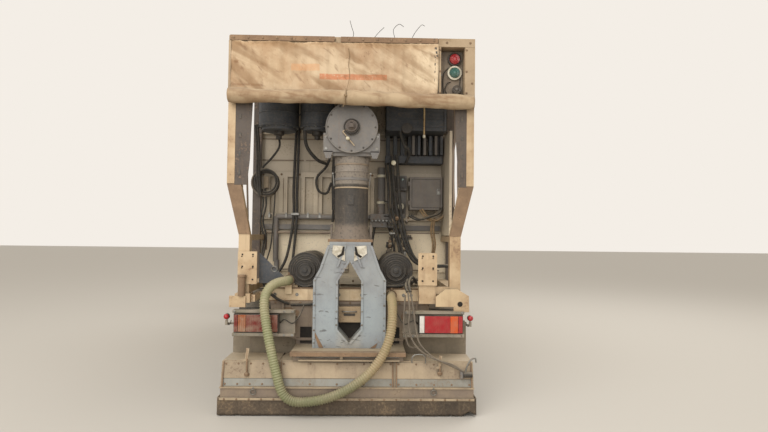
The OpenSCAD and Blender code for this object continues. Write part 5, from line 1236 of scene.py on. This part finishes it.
# Silo: ribs, seams, braces, lid clamps, walkway treads and the roof cable.
silo = {
    "ribs": range(-2560, 800, 480),
    "seams": [((1199, -3036, 2236), (1216, 856, 2262)), ((1199, -3036, 3536), (1214, 856, 3562))],
    "braces": range(-2520, 361, 960), "hoops": (-2800, -1560, -400, 780), "lids": (-2065, -115),
    "treads": range(-2990, 645, 158),
    "cable": [(1150, -2900, 3590), (1160, -2300, 3600), (1155, -1200, 3592), (1160, 0, 3600),
        (1150, 840, 3590)]}
piece = Piece("silo_trim")
for s in (-1, 1):
    piece.use(siloPaint).boxes([((s * 1199, y, 2260), (s * 1212, y + 46, 3540)) for y in silo["ribs"]])
    piece.boxes([flip(corners, s) for corners in silo["seams"]])
    for y in silo["braces"]:
        piece.tube([(s * 470, y, 1278), (s * 1040, y, 1998)], 11, 8)
    piece.use(yellowPaint).boxes([((s * 490, y, 3696), (s * 990, y + 8, 3702)) for y in silo["treads"]])
piece.use(siloPaint)
for y in silo["hoops"]:
    piece.tube([(-1040, y, 3672), (1040, y, 3672)], 9, 8)
piece.use(zincSteel)
for middle in silo["lids"]:
    piece.torus((0, middle, 3776), upward, 268, 9, 44, 8)
    for x, y, z in circle((0, middle, 3700), (0, 1), 300, 6, math.radians(30)):
        piece.bar((x, y, z), (x, y, z + 72), 9).box((x - 16, y - 16, z + 68), (x + 16, y + 16, z + 80))
piece.use(blackRubber).hoses([silo["cable"]], 12, 8).done(bevel=2)

tank = {
    "straps": (1080, 1610),
    "strap": [(-1192, 1280), (-1192, 2320), (-1030, 2482), (1030, 2482), (1192, 2320), (1192, 1280),
        (1030, 1118), (-1030, 1118), (-1192, 1280)],
    "cap": [(150, 0), (164, 8), (164, 34), (120, 42), (20, 46)]}
piece = Piece("tank_trim").use(zincSteel)
piece.hoses([[(x, y, z) for x, z in tank["strap"]] for y in tank["straps"]], 7, 6, parts=5)
piece.box((-1199, 1340, 1300), (-1191, 1364, 2300)).bar((-1206, 1352, 1290), (-1206, 1352, 2310), 10, 10)
piece.lathe(tank["cap"], (600, 1370, 2528), upward, 40)
piece.use(blackSteel).bar((520, 1370, 2590), (680, 1370, 2590), 12)
piece.use(greyPaint).bar((900, 1824, 1200), (900, 1860, 1200), 50)
piece.bar((900, 1850, 1200), (900, 1850, 1120), 22)
piece.done(bevel=1.5)

# Exhaust stack on the left and air intake on the right, both behind the cab.
stack = {
    "x": 780, "y": 2230, "clamps": [(1120, 131), (1940, 131), (2120, 56), (2560, 56)], "guards": 14,
    "louvres": range(2836, 3080, 34), "bands": (1130, 1360), "bellows": range(1600, 1700, 22)}
x, y = -stack["x"], stack["y"]
piece = Piece("exhaust_trim").use(zincSteel)
for z, radius in stack["clamps"]:
    piece.torus((x, y, z), upward, radius, 6, 48, 8)
    piece.box((x - 14, y + radius - 4, z - 10), (x + 14, y + radius + 26, z + 10))
    piece.bar((x - 26, y + radius + 14, z), (x + 26, y + radius + 14, z), 6, 12)
piece.use(exhaustSteel)
for k in range(stack["guards"]):
    a = math.radians(200 + 140 * k / (stack["guards"] - 1))
    across, back = x + 142 * math.cos(a), y + 142 * math.sin(a)
    piece.bar((across, back, 1200), (across, back, 1860), 7, 8)
piece.torus((x, y, 3050), upward, 51, 4, 40, 8).bar((x - 30, y + 52, 3052), (x + 30, y + 52, 3052), 6, 12)
piece.lathe([(62, 0), (64, 3), (62, 6)], (x, y - 34, 3082), (0, -0.5, 0.86))
# The near-black disc in the stack's mouth is painted shade.
piece.use(openingShade).lathe([(47, 0), (47, 2)], (x, y, 3050), upward).done(bevel=1)

x = stack["x"]
piece = Piece("intake_trim").use(guardPlastic).box((x - 180, y - 100, 3106), (x + 180, y + 100, 3120))
for s in (-1, 1):
    piece.boxes([((x - 186, y + s * 108, z), (x + 186, y + s * 116, z + 16)) for z in stack["louvres"]])
    piece.boxes([((x + s * 188, y - 104, z), (x + s * 196, y + 104, z + 16)) for z in stack["louvres"]])
piece.use(zincSteel)
for z in stack["bands"]:
    piece.torus((x, y, z), upward, 166, 5, 52, 8)
for across, back, foot in circle((x, y, 1420), (0, 1), 172, 4, math.pi / 4):
    piece.box((across - 12, back - 12, foot), (across + 12, back + 12, foot + 84))
piece.use(blackRubber).boxes([((x - 110, y - 80, z), (x + 110, y + 80, z + 11)) for z in stack["bellows"]])
piece.done(bevel=2)

# Chassis: tank straps and cap, battery lid with its catches, frame bolts and the lines along the frame.
chassis = {
    "straps": (-560, 160),
    "strap": [(-1050, 560), (-1050, 880), (-960, 952), (-580, 952), (-484, 880), (-484, 560), (-580, 468),
        (-960, 468), (-1050, 560)],
    "cap": [(52, 0), (58, 6), (58, 30), (50, 38)], "catches": (-150, 250),
    "bolts": range(-3600, 4200, 240), "rows": (960, 790), "lines": [(-300, 830), (-270, 800), (290, 820)],
    "sway": [(0, -3600, 0), (14, -2600, 12), (-10, -1200, -10), (10, 200, 8), (0, 1800, 0)]}
piece = Piece("chassis_trim").use(zincSteel)
piece.hoses([[(x, y, z) for x, z in chassis["strap"]] for y in chassis["straps"]], 8, 6, parts=4)
for y in chassis["catches"]:
    piece.box((1158, y, 860), (1168, y + 40, 915)).bolt((1168, y + 20, 875), (1, 0, 0), 8)
for s in (-1, 1):
    piece.bolts([(s * 430, y, z) for y in chassis["bolts"] for z in chassis["rows"]], (s, 0, 0), 9)
piece.use(blackSteel).lathe(chassis["cap"], (-800, -300, 946), upward, 28)
piece.use(guardPlastic).box((445, -240, 905), (1155, 340, 918)).use(blackRubber)
for x, z in chassis["lines"]:
    piece.hoses([[(x + dx, y, z + dz) for dx, y, dz in chassis["sway"]]], 13, 8, parts=4)
piece.done(bevel=1.5)
print("stage: silo, tank and chassis")

# CAD nodes: the finish of each and the bevel of its edges, 3 mm where no other width is given.
nodesOf = {
    chassisPaint: "frame axles knuckle_left knuckle_right tie_rod", rustPlate: "springs",
    tankMetal: "side_boxes", greyPaint: "engine screw_housing valve_gear", whiteLens: "front_lamps",
    exhaustSteel: "exhaust", creamPaint: "front_bumper header_cover tarp_roll cab door_left door_right",
    yellowPaint: "roof_rails", guardPlastic: "mudguards air_intake mirrors",
    skirtRubber: "mud_flaps dust_skirt", bayPaint: "bay_wall",
    siloPaint: "silo water_tank lid_front lid_rear", postPaint: "silo_frames bay_posts", hoodPaint: "hood",
    cabinetPaint: "signal_box cabinet cabinet_door", spoutPaint: "drop_spout", chutePaint: "chute",
    blackSteel: "drive_drums", beamLitPaint: "drum_beam", navyPaint: "dust_filters", hopperPaint: "hopper",
    boxPaint: "spreader_box", bracketPaint: "lamp_brackets", redLens: "tail_lamps", windowGlass: "cab_glass",
    seatCloth: "cab_interior", finPlate: "screw_shaft"}
nodeFinish = {name: finish for finish, names in nodesOf.items() for name in names.split()}
edges = {
    "plain": 3, "silo": 14, "cab": 22, "hood": 6, "chute": 5, "spreader_box": 5, "front_bumper": 14,
    "tail_lamps": 6, "cab_glass": 0, "cab_interior": 14, "door_left": 5, "door_right": 5, "mirrors": 14,
    "suction_hose": 0}
for name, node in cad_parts.items():
    if node.hide_render:
        continue
    node.data.materials.clear()
    node.data.materials.append(nodeFinish.get(name) or (tyreRubber if name.startswith("tyre") else rimPaint))
    width = edges.get(name, edges["plain"])
    if width:
        node.modifiers.new("joined", "WELD").merge_threshold = 0.0001
        flat = node.modifiers.new("flat", "DECIMATE")
        flat.decimate_type, flat.angle_limit = "DISSOLVE", math.radians(0.5)
        edge = node.modifiers.new("edges", "BEVEL")
        edge.width, edge.segments = width / 1000, 2
        edge.limit_method, edge.angle_limit = "ANGLE", math.radians(35)
        edge.use_clamp_overlap = True
print("stage: CAD nodes finished")

# Floor and overcast light.
setting = {
    "floor": 60, "floorColour": "#B9B4AB", "sky": "#F4EEE6", "aim": (0, -1.5, 1.5),
    "lamps": [((-1.5, -14.0, 4.5), 9.0, 480), ((-3.5, -9.0, 9.0), 7.0, 420), ((5.0, 2.0, 10.0), 8.0, 520)]}
floor = bpy.data.objects.new("floor", bpy.data.meshes.new("floor"))
corners = [(x * setting["floor"], y * setting["floor"], 0) for x, y in ((-1, -1), (1, -1), (1, 1), (-1, 1))]
floor.data.from_pydata(corners, [], [(0, 1, 2, 3)])
ground = bpy.data.materials.new("pale floor")
ground.use_nodes = True
shader = ground.node_tree.nodes["Principled BSDF"]
shader.inputs["Base Color"].default_value = hexColour(setting["floorColour"])
shader.inputs["Roughness"].default_value = 0.9
floor.data.materials.append(ground)
bpy.context.scene.collection.objects.link(floor)
world = bpy.data.worlds.new("overcast")
world.use_nodes = True
world.node_tree.nodes["Background"].inputs["Color"].default_value = hexColour(setting["sky"])
world.node_tree.nodes["Background"].inputs["Strength"].default_value = 1.0
bpy.context.scene.world = world
for place, size, power in setting["lamps"]:
    lamp = bpy.data.objects.new("soft_light", bpy.data.lights.new("soft_light", "AREA"))
    lamp.data.shape, lamp.data.size, lamp.data.energy = "DISK", size, power
    towards = (Vector(setting["aim"]) - Vector(place)).to_track_quat("-Z", "Y")
    lamp.matrix_world = Matrix.Translation(place) @ towards.to_matrix().to_4x4()
    bpy.context.scene.collection.objects.link(lamp)
bpy.context.scene.view_settings.view_transform = "Standard"
